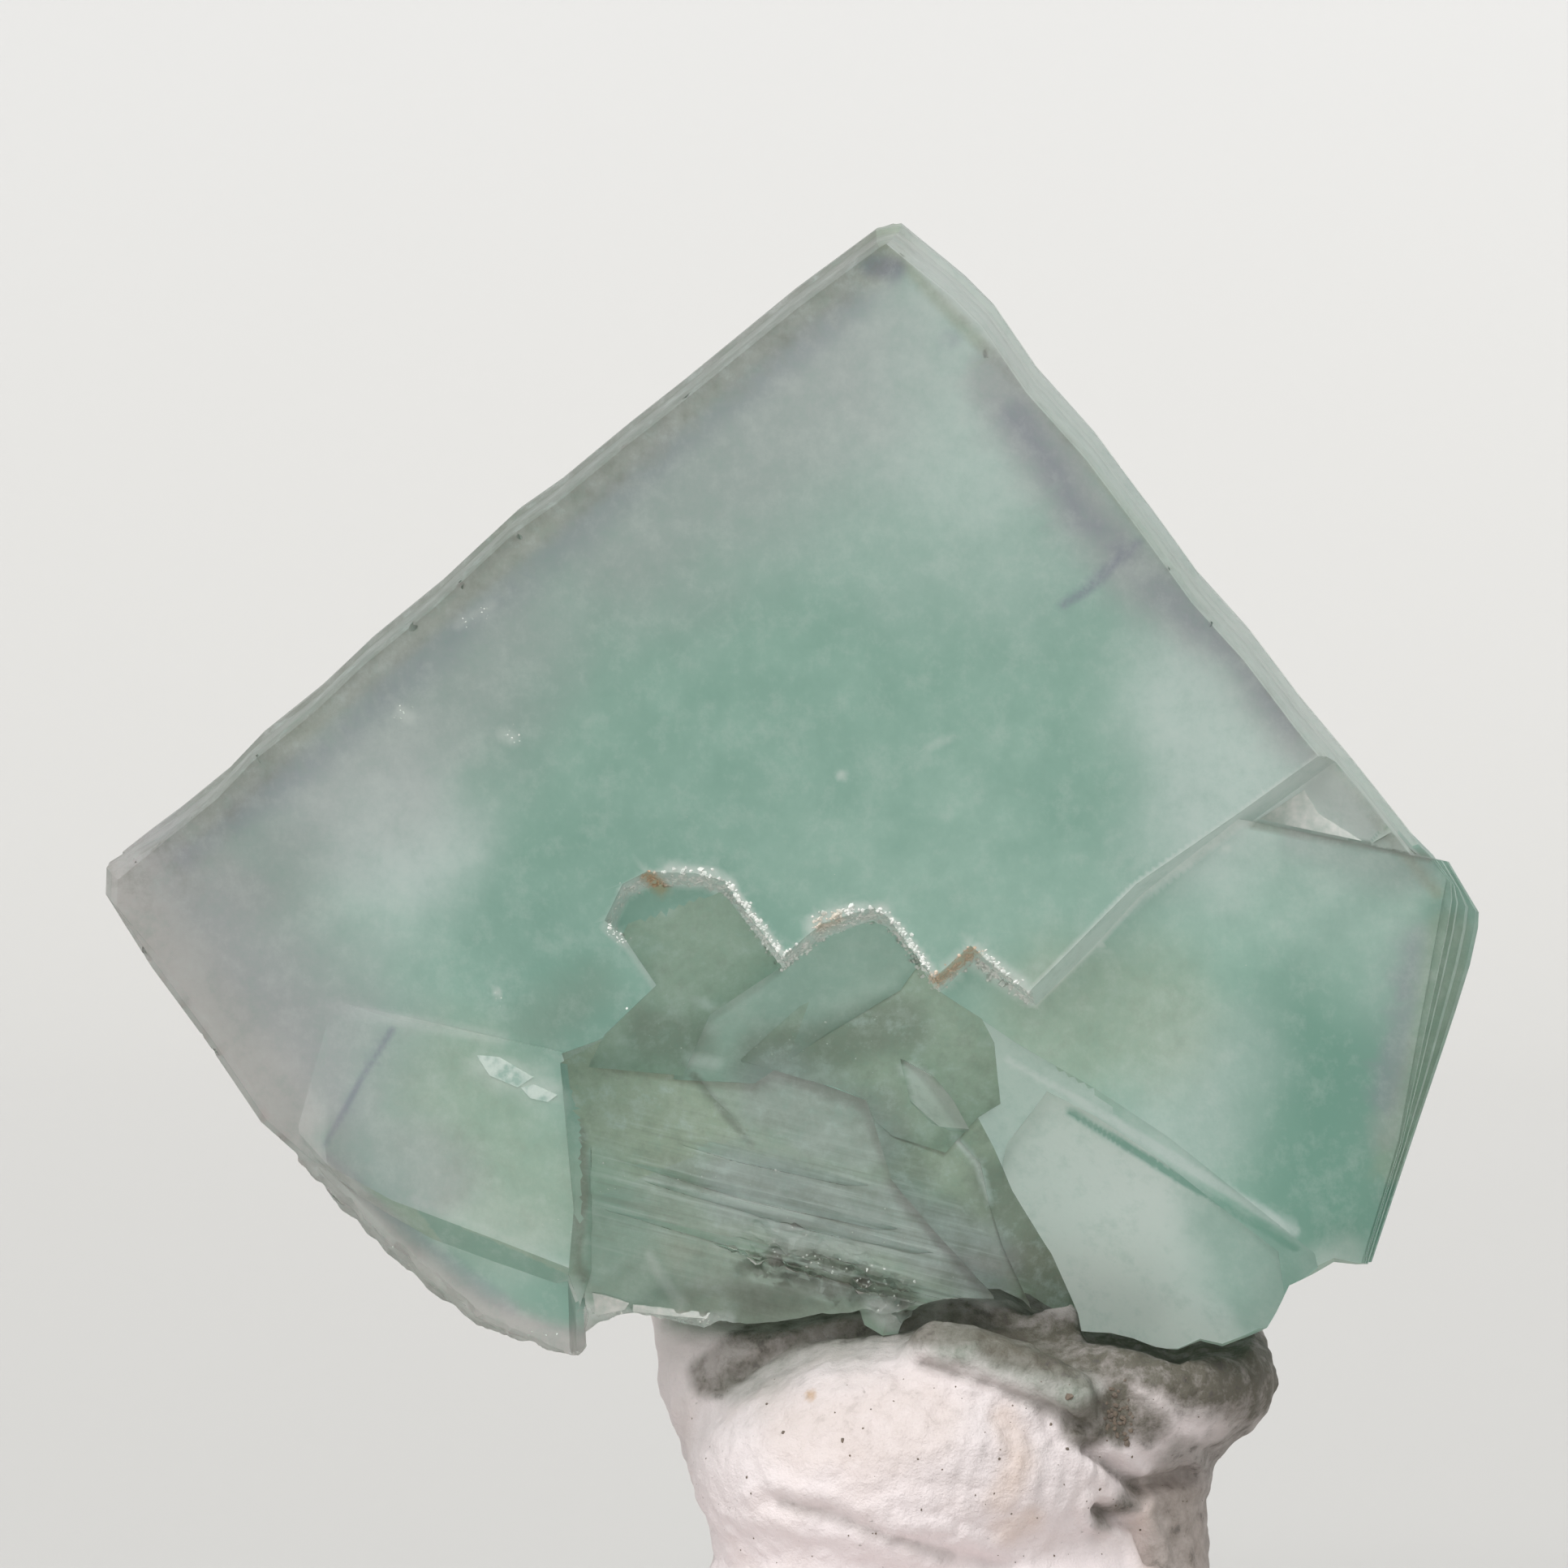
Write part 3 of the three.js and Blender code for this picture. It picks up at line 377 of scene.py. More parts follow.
# Colour zones: [line, half width, soft border, strength].
GROWN_ZONES = {
    "deep": [
        ([[-1.8, 30.0], [4.2, 29.2]], 0.6, 4.6, 0.5),
        ([[4.8, 24.2], [6.6, 23.6]], 0.7, 2.0, 0.35),
        ([[-9.8, 22.6], [-4.8, 20.6], [-7.8, 19.0]], 1.3, 2.8, 0.45),
        ([[-6.6, 25.6], [-1.8, 27.0]], 2.0, 4.0, 0.3),
        ([[11.2, 17.2], [11.2, 14.0]], 0.4, 3.4, 1.0),
        ([[10.2, 14.6], [8.6, 16.2]], 0.3, 1.4, 0.5),
        ([[x, z - 0.42] for x, z in CLEAVAGE[1:]], 0.06, 0.12, 0.9),
        ([[-7.6, 19.6], [-6.6, 18.6]], 0.4, 0.9, 0.6),
        # painted shade: the dark line where the second cube's top is seen edge-on
        ([[8.9, 23.34], [11.0, 22.96], [13.42, 22.46]], 0.04, 0.16, 0.9),
        ([[13.6, 21.0], [13.4, 19.4], [12.9, 16.9], [12.2, 14.0]], 0.25, 0.35, 0.7),
    ],
    "pale": [
        ([[-0.6, 34.6], [2.2, 32.8]], 0.8, 4.0, 0.55),
        ([[-1.8, 32.2], [3.2, 30.8]], 1.4, 3.0, 0.3),
        ([[-12.4, 23.6], [-12.0, 22.8]], 0.7, 2.6, 0.75),
        ([[7.6, 26.6], [9.4, 24.4], [8.2, 23.4]], 0.5, 2.6, 0.65),
        ([[10.2, 22.0], [12.2, 21.2], [12.8, 19.6]], 0.3, 2.0, 0.15),
        ([[7.2, 15.6], [8.0, 17.4]], 0.4, 2.0, 0.4),
        (LEDGE[1:6], 0.16, 0.14, 1.0),
        (CLEAVAGE, 0.07, 0.14, 0.9),
        ([[x, z - 0.1] for x, z in UPPER_RIGHT_EDGE[:4]], 0.22, 0.25, 0.9),
        ([[x + 0.36, z - 0.45] for x, z in UPPER_LEFT_EDGE], 0.03, 0.14, 0.35),
        ([[-14.0, 18.9], [-12.14, 18.5], [-9.4, 18.0]], 0.06, 0.2, 0.6),
        ([[-10.4, 13.6], [-9.0, 13.0]], 0.4, 1.2, 0.4),
        ([[-11.6, 14.05], [-9.8, 13.3], [-7.8, 12.36]], 0.04, 0.14, 0.6),
    ],
    "olive": [
        (UPPER_LEFT_EDGE, 0.7, 0.4, 0.8),
        ([[x - 0.3, z - 0.3] for x, z in UPPER_RIGHT_EDGE], 0.05, 0.2, 0.6),
        ([[-19.0, 21.8], [-17.6, 22.4]], 0.5, 1.6, 0.5),
        ([[4.0, 18.4], [6.4, 18.6]], 1.0, 1.6, 0.4),
        ([[13.9, 20.6], [13.6, 18.6], [12.6, 15.0]], 0.4, 0.3, 0.35),
        ([[-10.6, 16.6], [-8.8, 14.2]], 0.8, 2.0, 0.35),
    ],
    "umber": [
        (UPPER_LEFT_EDGE, 0.3, 0.3, 0.4),
        ([[13.9, 21.6], [13.7, 18.6], [12.6, 14.0]], 0.35, 0.2, 0.1),
        # painted shade: the dark line where the second cube's top is seen edge-on
        ([[9.0, 23.3], [10.2, 23.06], [11.9, 22.76], [13.42, 22.46]], 0.03, 0.12, 0.9),
        ([[-8.6, 18.4], [-7.2, 19.2]], 0.2, 0.8, 0.3),
    ],
    "lilac": [
        ([[-0.6, 36.6], [-18.4, 21.8]], 0.2, 1.6, 0.5),
        ([[-1.8, 34.6], [-6.6, 30.8]], 0.5, 4.2, 0.6),
        ([[-9.4, 28.4], [-15.2, 23.4]], 0.4, 3.8, 0.6),
        ([[-18.6, 22.0], [-16.8, 20.0], [-15.0, 17.4]], 0.8, 4.2, 0.9),
        ([[-17.2, 19.4], [-14.0, 15.4]], 0.3, 2.4, 0.6),
        ([[2.8, 34.2], [4.2, 32.2], [5.9, 29.8]], 0.3, 0.9, 0.8),
        ([[6.2, 29.6], [8.8, 27.6], [10.6, 25.5]], 0.3, 1.0, 0.75),
        ([[-13.8, 15.6], [-11.4, 14.8]], 0.7, 1.3, 0.55),
        (LOWER_LEFT_RIM, 0.4, 0.3, 0.9),
        ([[10.2, 22.9], [13.1, 22.1]], 0.2, 0.7, 0.4),
        ([[10.7, 24.4], [11.8, 23.4]], 0.2, 0.5, 0.7),
        ([[13.1, 20.6], [12.8, 18.4], [12.3, 15.6]], 0.12, 0.4, 0.4),
    ],
    "violet": [
        ([[-0.3, 37.05], [0.25, 37.0]], 0.03, 0.4, 0.7),
        ([[1.64, 35.2]], 0.03, 0.3, 0.35),
        ([[4.4, 28.7], [4.9, 29.0], [5.7, 29.75], [6.2, 30.2]], 0.02, 0.22, 0.75),
        ([[3.2, 33.4], [4.2, 32.0], [4.8, 31.0], [5.9, 30.0]], 0.03, 0.55, 0.5),
        ([[6.6, 29.2], [8.4, 27.6], [10.0, 25.9]], 0.03, 0.6, 0.35),
        ([[-0.7, 36.2], [-4.8, 32.8], [-8.4, 29.8], [-10.2, 28.3]], 0.03, 0.6, 0.3),
        ([[-6.9, 31.1], [-8.4, 29.9]], 0.05, 0.4, 0.3),
        ([[-10.2, 28.3], [-13.4, 25.5], [-17.2, 22.5]], 0.03, 0.6, 0.35),
        ([[-12.14, 18.24], [-12.9, 17.0], [-13.8, 15.36]], 0.015, 0.13, 0.65),
        ([[-13.74, 15.0], [-12.4, 13.9], [-11.4, 13.0], [-9.22, 11.3]], 0.03, 0.35, 0.45),
        ([[12.95, 20.4], [12.75, 18.6], [12.3, 16.4]], 0.03, 0.4, 0.35),
    ],
    "frost": [
        (LEDGE[5:16], 0.12, 0.12, 0.95),
        (LEDGE[15:18], 0.1, 0.14, 0.55),
        (LEDGE[1:6], 0.14, 0.12, 0.85),
        (UPPER_RIGHT_EDGE[:4], 0.16, 0.24, 0.55),
        (LOWER_LEFT_EDGE, 0.15, 1.7, 0.7),
        (LEDGE[17:], 0.04, 0.14, 0.45),
        # painted reflection: a soft haze round the two glints low on the left
        ([[-9.8, 17.3], [-8.9, 17.0], [-8.1, 16.6]], 0.1, 0.3, 0.7),
        ([[-5.2, 22.06], [-4.3, 21.95], [-3.9, 21.7]], 0.2, 0.2, 0.9),
        ([[-1.7, 20.8], [-0.7, 21.1], [-0.1, 21.1]], 0.18, 0.2, 0.9),
        ([[2.2, 20.0], [3.3, 19.3]], 0.2, 0.24, 0.85),
        (LOWER_LEFT_RIM, 0.3, 0.25, 0.8),
        ([[-1.06, 24.5]], 0.06, 0.14, 0.8),
        ([[-11.9, 26.1], [-11.7, 25.9]], 0.03, 0.2, 0.45),
        ([[-9.4, 25.5], [-9.2, 25.4]], 0.03, 0.2, 0.45),
        ([[-10.5, 28.2], [-9.7, 28.7]], 0.03, 0.2, 0.35),
        ([[-9.56, 19.16]], 0.05, 0.12, 0.7),
        ([[1.1, 25.2], [1.6, 25.4]], 0.03, 0.18, 0.3),
        ([[8.4, 22.7]], 0.05, 0.12, 0.6),
        ([[9.6, 21.0]], 0.08, 0.3, 0.4),
        ([[9.9, 12.0], [10.3, 12.2], [11.4, 12.6]], 0.2, 0.6, 0.5),
    ],
    "clay": [
        (LOWER_LEFT_EDGE, 0.3, 1.9, 0.6),
        (LOWER_LEFT_RIM, 0.4, 0.6, 0.5),
        ([[-19.2, 21.8], [-18.4, 22.2]], 0.2, 0.9, 0.4),
    ],
}
BROKEN_ZONES = {
    "deep": [
        ([[8.6, 13.4], [9.5, 11.6]], 0.7, 1.3, 0.75),
        ([[x, z - 0.42] for x, z in CLEAVAGE[1:]], 0.06, 0.12, 1.0),
        ([[-7.2, 14.0], [-6.4, 12.0]], 0.6, 1.2, 0.5),
        ([[-2.6, 19.0], [-1.0, 20.1], [0.4, 20.5]], 0.4, 0.6, 0.35),
    ],
    "umber": [
        ([[-3.0, 17.5], [-1.0, 17.9], [0.4, 18.3]], 0.3, 0.8, 0.7),
        ([[-5.9, 18.3], [-4.6, 17.9]], 0.2, 0.7, 0.6),
        ([[0.0, 16.4], [0.6, 14.6]], 0.3, 0.5, 0.5),
        ([[2.8, 14.4], [3.4, 13.0], [4.4, 11.4]], 0.4, 0.7, 0.7),
        ([[1.8, 13.4], [3.0, 11.6]], 0.3, 0.8, 0.6),
        ([[-7.5, 15.7], [-7.44, 14.2], [-7.62, 12.6], [-7.4, 12.1]], 0.05, 0.22, 0.9),
        ([[-5.2, 14.6], [-1.8, 13.8]], 0.15, 0.7, 0.5),
        ([[-2.4, 12.6], [-0.6, 11.9], [0.4, 11.6]], 0.25, 0.5, 0.9),
        ([[-4.7, 17.1], [-3.3, 15.4]], 0.03, 0.14, 0.8),
        ([[5.6, 10.8], [8.4, 10.9]], 0.15, 0.4, 0.4),
    ],
    "lilac": [
        ([[-3.6, 14.4], [0.0, 13.6], [2.2, 12.4]], 0.5, 1.0, 0.75),
        ([[-2.6, 16.6], [-0.6, 15.6]], 0.6, 1.0, 0.6),
        (LOWER_LEFT_RIM, 0.6, 0.3, 0.9),
        ([[5.0, 12.4], [6.4, 11.6]], 0.2, 0.7, 0.5),
    ],
    "pale": [
        (CLEAVAGE, 0.07, 0.14, 1.0),
        ([[5.0, 12.4], [6.4, 11.6], [8.0, 10.9]], 0.3, 0.8, 0.9),
    ],
    "frost": [
        (LOWER_LEFT_RIM, 0.5, 0.25, 0.6),
        ([[-7.8, 11.6], [-7.4, 10.4]], 0.3, 0.3, 0.9),
        ([[-7.6, 11.4], [-6.6, 11.15], [-5.4, 11.1], [-3.9, 11.05]], 0.12, 0.16, 1.0),
        ([[-5.9, 14.55], [-4.4, 14.15], [-1.8, 13.6]], 0.02, 0.14, 0.6),
        ([[1.68, 15.66], [2.3, 14.9], [2.6, 14.0]], 0.03, 0.12, 0.9),
        ([[-5.8, 12.7], [-5.5, 12.1], [-5.0, 11.5]], 0.03, 0.16, 0.5),
        ([[-2.6, 13.0], [-1.8, 13.1], [-0.6, 12.6]], 0.04, 0.3, 0.45),
        ([[-0.2, 11.4], [0.3, 11.0]], 0.2, 0.25, 0.8),
        ([[1.0, 11.7], [3.0, 11.5], [4.6, 10.95], [7.4, 10.5]], 0.05, 0.25, 0.5),
        ([[-4.8, 17.5], [-4.2, 17.4]], 0.05, 0.2, 0.6),
        ([[-6.0, 19.4], [-7.0, 18.2]], 0.04, 0.14, 0.5),
        ([[-4.6, 18.9], [-4.2, 18.8]], 0.04, 0.14, 0.7),
    ],
    "clay": [(LOWER_LEFT_RIM, 0.5, 0.5, 0.6)],
}
# Small faces with a colour of their own, drawn as outlines: tone, strength, corners. The pale and frost on
# the second cube's corner are a painted reflection.
CORNER = [[9.3, 23.45], [11.0, 24.9], [12.5, 23.4], [11.9, 22.85]]
CHIP = [[0.4, 17.5], [1.0, 17.3], [1.7, 16.5], [2.3, 16.2], [2.0, 15.6], [1.5, 15.7], [0.7, 16.3]]
PATCHES = [
    ("pale", 1.0, CORNER),
    ("lilac", 0.35, [[10.3, 24.2], [11.0, 24.9], [12.5, 23.4], [11.8, 22.9], [10.9, 23.4]]),
    ("frost", 0.6, CORNER),
    # painted reflection on the second cube's top corner
    ("frost", 1.0, [[11.94, 22.78], [12.52, 23.36], [13.2, 22.54]]),
    ("pale", 1.0, CHIP),
    ("frost", 0.7, CHIP),
    ("deep", 0.75, [[-11.6, 13.9], [-7.8, 12.2], [-7.56, 10.6], [-8.8, 11.1], [-10.6, 12.6]]),
]
STRIA_FALL = 14  # degrees by which the slab's striations fall to the right
STRIAE_PER_MM = 2.2
SLAB = [
    [-7.4, 15.9], [-4.94, 17.5], [-3.5, 17.4], [-0.2, 16.4], [1.4, 14.4], [3.4, 12.2], [4.0, 11.0],
    [-7.4, 11.0],
]
COMBED_MOST = [[-5.6, 14.3], [-1.6, 13.6], [2.4, 12.0]]  # along this line they are strongest
# Where the break is roughest: [line, half width, soft border, strength].
HACKLY = [
    ([[-3.0, 12.8], [-1.6, 12.4], [0.2, 11.6]], 0.45, 0.5, 1.0),
    ([[-7.2, 11.2], [-4.0, 11.0]], 0.1, 0.4, 0.6),
    (LOWER_LEFT_RIM, 0.2, 0.4, 0.55),
]
# Iron stain on the ledge, in the same way.
OCHRE = [
    ([[-5.86, 22.05], [-5.5, 21.7]], 0.04, 0.24, 0.75),
    ([[-1.7, 20.8], [-1.2, 21.0]], 0.02, 0.32, 0.35),
    ([[1.3, 19.5], [1.8, 19.95], [2.3, 20.3]], 0.03, 0.32, 0.6),
]
# The broken faces: three points [x, depth, z] of the plane each follows, and how it takes the colours.
FACETS = [
    ([[-2.5, 1.05, 20.0], [0.1, 1.1, 21.0], [-4.0, 2.05, 17.5]], {"pale": 0.28, "olive": 0.25}),
    ([[-6.46, 1.1, 20.56], [-3.9, 1.2, 21.3], [-4.4, 2.8, 17.5]], {"olive": 0.6}),
    ([[-4.94, 1.15, 17.5], [-0.46, 1.25, 16.5], [-1.8, 4.0, 11.6]], {"olive": 0.75, "lilac": 0.25}),
    ([[-3.36, 1.94, 15.74], [-7.5, 3.27, 14.0], [-4.94, 1.5, 17.5]], {"olive": 0.9}),
    ([[2.4, 1.5, 18.45], [10.2, 0.4, 12.95], [4.7, 3.3, 11.2]], {"pale": 0.6}),
    ([[4.2, 1.85, 16.4], [9.6, 1.0, 12.8], [4.7, 3.6, 11.2]], {"pale": 0.9, "frost": 0.8}),
    ([[1.0, 1.75, 19.6], [-3.0, 2.2, 17.8], [0.6, 3.4, 16.2]], {"olive": 0.75}),
    ([[0.5, 2.6, 17.2], [0.3, 4.1, 14.4], [2.7, 4.5, 12.6]], {"olive": 0.85}),
    ([[1.9, 3.4, 15.6], [4.0, 5.2, 12.6], [1.9, 4.6, 12.6]], {"olive": 0.9, "umber": 0.1}),
]
REST_OF_BREAK = {"olive": 0.55}
# The upper walls: the umber on the left one is painted shade, against the key light that falls on it, and
# the right one is etched white above the second cube.
LEFT_WALL_PAINTED_SHADE = 0.8
RIGHT_WALL_FROST = 0.75
SECOND_CUBE_TOP = 23.0
TONES = ("deep", "pale", "olive", "umber", "lilac", "violet", "frost", "clay", "ochre")
# How far back the parts of the front go, in millimetres behind the big front face.
GROWN_DEPTH = 1.7
PATCH_DEPTH = 3
SLAB_DEPTH = 5
BREAK_DEPTH = 6
# The lowest the crystal reaches across its width: x, and the height there.
LOWER_END = ([-20, -8, 11, 16], [15, 11.8, 11.8, 13.4])
UNDERSIDE = 1.5  # faces that look down are broken this far above the lower end
# How far the relief stands up, in millimetres.
HILLOCKS = 0.01
GROWTH_LINES = 0.015
BREAK_GRAIN = 0.012
COMB_STEPS = 0.035
HACKLES = 0.22
SHARP_ANGLE = 24  # degrees from which an edge between two faces shows as sharp
# Which way a face looks, from its normal's part along an axis.
LOOKS_UP = 0.3
LOOKS_DOWN = -0.4
LOOKS_ASIDE = 0.4
FINE_BORDER = 0.3  # marks whose border is narrower than this get a fine mesh, in millimetres
BRIGHT = 0.3  # faces with a larger share of pale than this stay free of umber, lilac and combing
ON_PLANE = 0.04  # a face this near a drawn plane, in millimetres, belongs to it
SAME_WAY = 0.98  # and turned the same way, as the cosine between them


def facet_shares(centres, directions, broken):
    """Each tone's share on each face, for face centres in millimetres and face directions."""
    shares = {tone: np.zeros(len(centres)) for tone in TONES}
    for tone, share in REST_OF_BREAK.items():
        shares[tone][broken] = share
    nearest = np.full(len(centres), ON_PLANE)
    for through, tones in FACETS:
        a, b, c = (drawn(x, z, depth) for x, depth, z in through)
        normal = np.cross(b - a, c - a)
        normal /= np.linalg.norm(normal)
        away = np.abs((centres - a) @ normal)
        mine = broken & (away < nearest) & (np.abs(directions @ normal) > SAME_WAY)
        nearest[mine] = away[mine]
        for tone in TONES:
            shares[tone][mine] = tones.get(tone, 0)
    return shares


def fluorite_material(settings):
    # Fluorite: a grown, faintly etched cube crystal. Plain transmission, its own IOR of 1.434 and a green
    # absorption make it see-through; the etched skin and milky growth zones blur what lies behind.
    material, tree, where = new_material("fluorite_grown_and_cleaved")
    # cloudy growth, features of about 1 mm, and etch pits, drawn at 0.15 mm because real ones are too fine
    cloud = add_node(tree, "ShaderNodeTexNoise", {"Vector": where, "Scale": 0.9, "Detail": 3.0})
    grain = add_node(tree, "ShaderNodeTexNoise", {"Vector": where, "Scale": 6.5, "Detail": 1.0})
    share = {"Value": cloud, "From Min": 0.35, "From Max": 0.7, "To Max": 0.42}
    uneven = add_node(tree, "ShaderNodeMapRange", share)
    body = add_node(
        tree, "ShaderNodeMix", {0: uneven, 6: settings.green, 7: settings.deep}, 2, data_type="RGBA"
    )
    for tone in TONES:
        mask = add_node(tree, "ShaderNodeAttribute", out="Fac", attribute_name=tone)
        tint = getattr(settings, tone)
        body = add_node(tree, "ShaderNodeMix", {0: mask, 6: body, 7: tint}, 2, data_type="RGBA")
    # fine veils of fluid bubbles make the crystal faintly mottled, down to 0.1 mm
    fine = {"Vector": where, "Scale": 1.4, "Detail": 5.0, "Roughness": 0.75}
    veil = add_node(tree, "ShaderNodeTexNoise", fine)
    for low, high, tint in ((0.5, 0.75, settings.frost), (0.5, 0.25, settings.deep)):
        share = {"Value": veil, "From Min": low, "From Max": high, "To Max": 0.3}
        share = add_node(tree, "ShaderNodeMapRange", share)
        body = add_node(tree, "ShaderNodeMix", {0: share, 6: body, 7: tint}, 2, data_type="RGBA")
    # clay and tiny cracks make the broken faces patchy, 0.4 mm across
    fine = {"Vector": where, "Scale": 1.6, "Detail": 5.0, "Roughness": 0.7}
    patchy = add_node(tree, "ShaderNodeTexNoise", fine)
    olive = add_node(tree, "ShaderNodeAttribute", out="Fac", attribute_name="olive")
    for low, high, tint in ((0.5, 0.72, settings.umber), (0.46, 0.28, settings.pale)):
        share = {"Value": patchy, "From Min": low, "From Max": high, "To Max": 0.6}
        share = add_node(tree, "ShaderNodeMapRange", share)
        share = add_node(tree, "ShaderNodeMath", {0: share, 1: olive}, operation="MULTIPLY")
        body = add_node(tree, "ShaderNodeMix", {0: share, 6: body, 7: tint}, 2, data_type="RGBA")
    # striations on the cleaved slab: fine parallel steps, 3 mm long and about 0.15 mm apart
    comb = {"Vector": where, "Rotation": (0, math.radians(STRIA_FALL), 0), "Scale": (3.0, 3.0, 0.11)}
    comb = add_node(tree, "ShaderNodeMapping", comb, vector_type="TEXTURE")
    steps = add_node(tree, "ShaderNodeTexNoise", {"Vector": comb, "Scale": 1.0, "Detail": 2.0})
    combed = add_node(tree, "ShaderNodeAttribute", out="Fac", attribute_name="combed")
    for low, high, tint in ((0.55, 0.72, settings.frost), (0.46, 0.3, settings.umber)):
        share = {"Value": steps, "From Min": low, "From Max": high, "To Max": 0.42}
        share = add_node(tree, "ShaderNodeMapRange", share)
        share = add_node(tree, "ShaderNodeMath", {0: share, 1: combed}, operation="MULTIPLY")
        body = add_node(tree, "ShaderNodeMix", {0: share, 6: body, 7: tint}, 2, data_type="RGBA")
    # growth lines run round the walls, 0.3 mm apart in depth
    depth = add_node(
        tree, "ShaderNodeVectorMath", {0: where, 1: tuple(BACKWARD)}, "Value", operation="DOT_PRODUCT"
    )
    lines = add_node(tree, "ShaderNodeTexNoise", {"W": depth, "Scale": 3.3}, noise_dimensions="1D")
    wall = add_node(tree, "ShaderNodeAttribute", out="Fac", attribute_name="wall")
    height = add_node(tree, "ShaderNodeMix", {0: wall, 2: grain, 3: lines})
    bump = add_node(
        tree, "ShaderNodeBump", {"Height": height, "Strength": 0.14, "Distance": 0.05 * MM}, "Normal"
    )
    frost = add_node(tree, "ShaderNodeAttribute", out="Fac", attribute_name="frost")
    rough = add_node(tree, "ShaderNodeMapRange", {"Value": frost, "To Min": 0.44, "To Max": 0.7})
    shader = add_node(
        tree,
        "ShaderNodeBsdfPrincipled",
        {"Base Color": body, "Roughness": rough, "Normal": bump, "Transmission Weight": 0.7, "IOR": 1.434},
    )
    # the density is per metre: 10 mm of crystal takes a sixth of red light and a tenth of green
    inner = {"Color": settings.absorption, "Density": 45.0}
    volume = add_node(tree, "ShaderNodeVolumeAbsorption", inner)
    add_node(tree, "ShaderNodeOutputMaterial", {"Surface": shader, "Volume": volume})
    return material


def crystal_mesh_sizes(settings):
    """Gives a function that finds the longest mesh edge that may be at each point, in millimetres."""
    line, slab, rough, face, plain = (
        getattr(settings, name) / MM
        for name in ("line_edge", "combed_edge", "broken_edge", "face_edge", "plain_edge")
    )
    fine_lines = [
        stroke
        for zones in (GROWN_ZONES, BROKEN_ZONES)
        for strokes in zones.values()
        for stroke in strokes
        if stroke[2] < FINE_BORDER
    ]
    fine_lines += [(stroke, half, 0.2, 1) for stroke, half, _, _ in HACKLY]
    fine_lines += [(outline + outline[:1], 0.1, 0.1, 1) for _, _, outline in PATCHES]

    def edge_at(middles):
        depth = (middles - FACE_POINT) @ BACKWARD
        flat = draw_back(middles)
        size = np.where(depth < GROWN_DEPTH, face, plain)
        size[inside(flat, BROKEN_END) & (depth < BREAK_DEPTH)] = rough
        size[inside(flat, SLAB) & (depth < SLAB_DEPTH)] = slab
        # lines on the low broken faces lie deeper than those above
        reach = np.where(flat[:, 1] < 16, 3.5, 1.3)
        for stroke, half, soft, _ in fine_lines:
            near = (to_stroke(flat, stroke) < half + soft) & (depth < reach)
            size[near] = np.minimum(size[near], max(line, soft))
        return size

    return edge_at


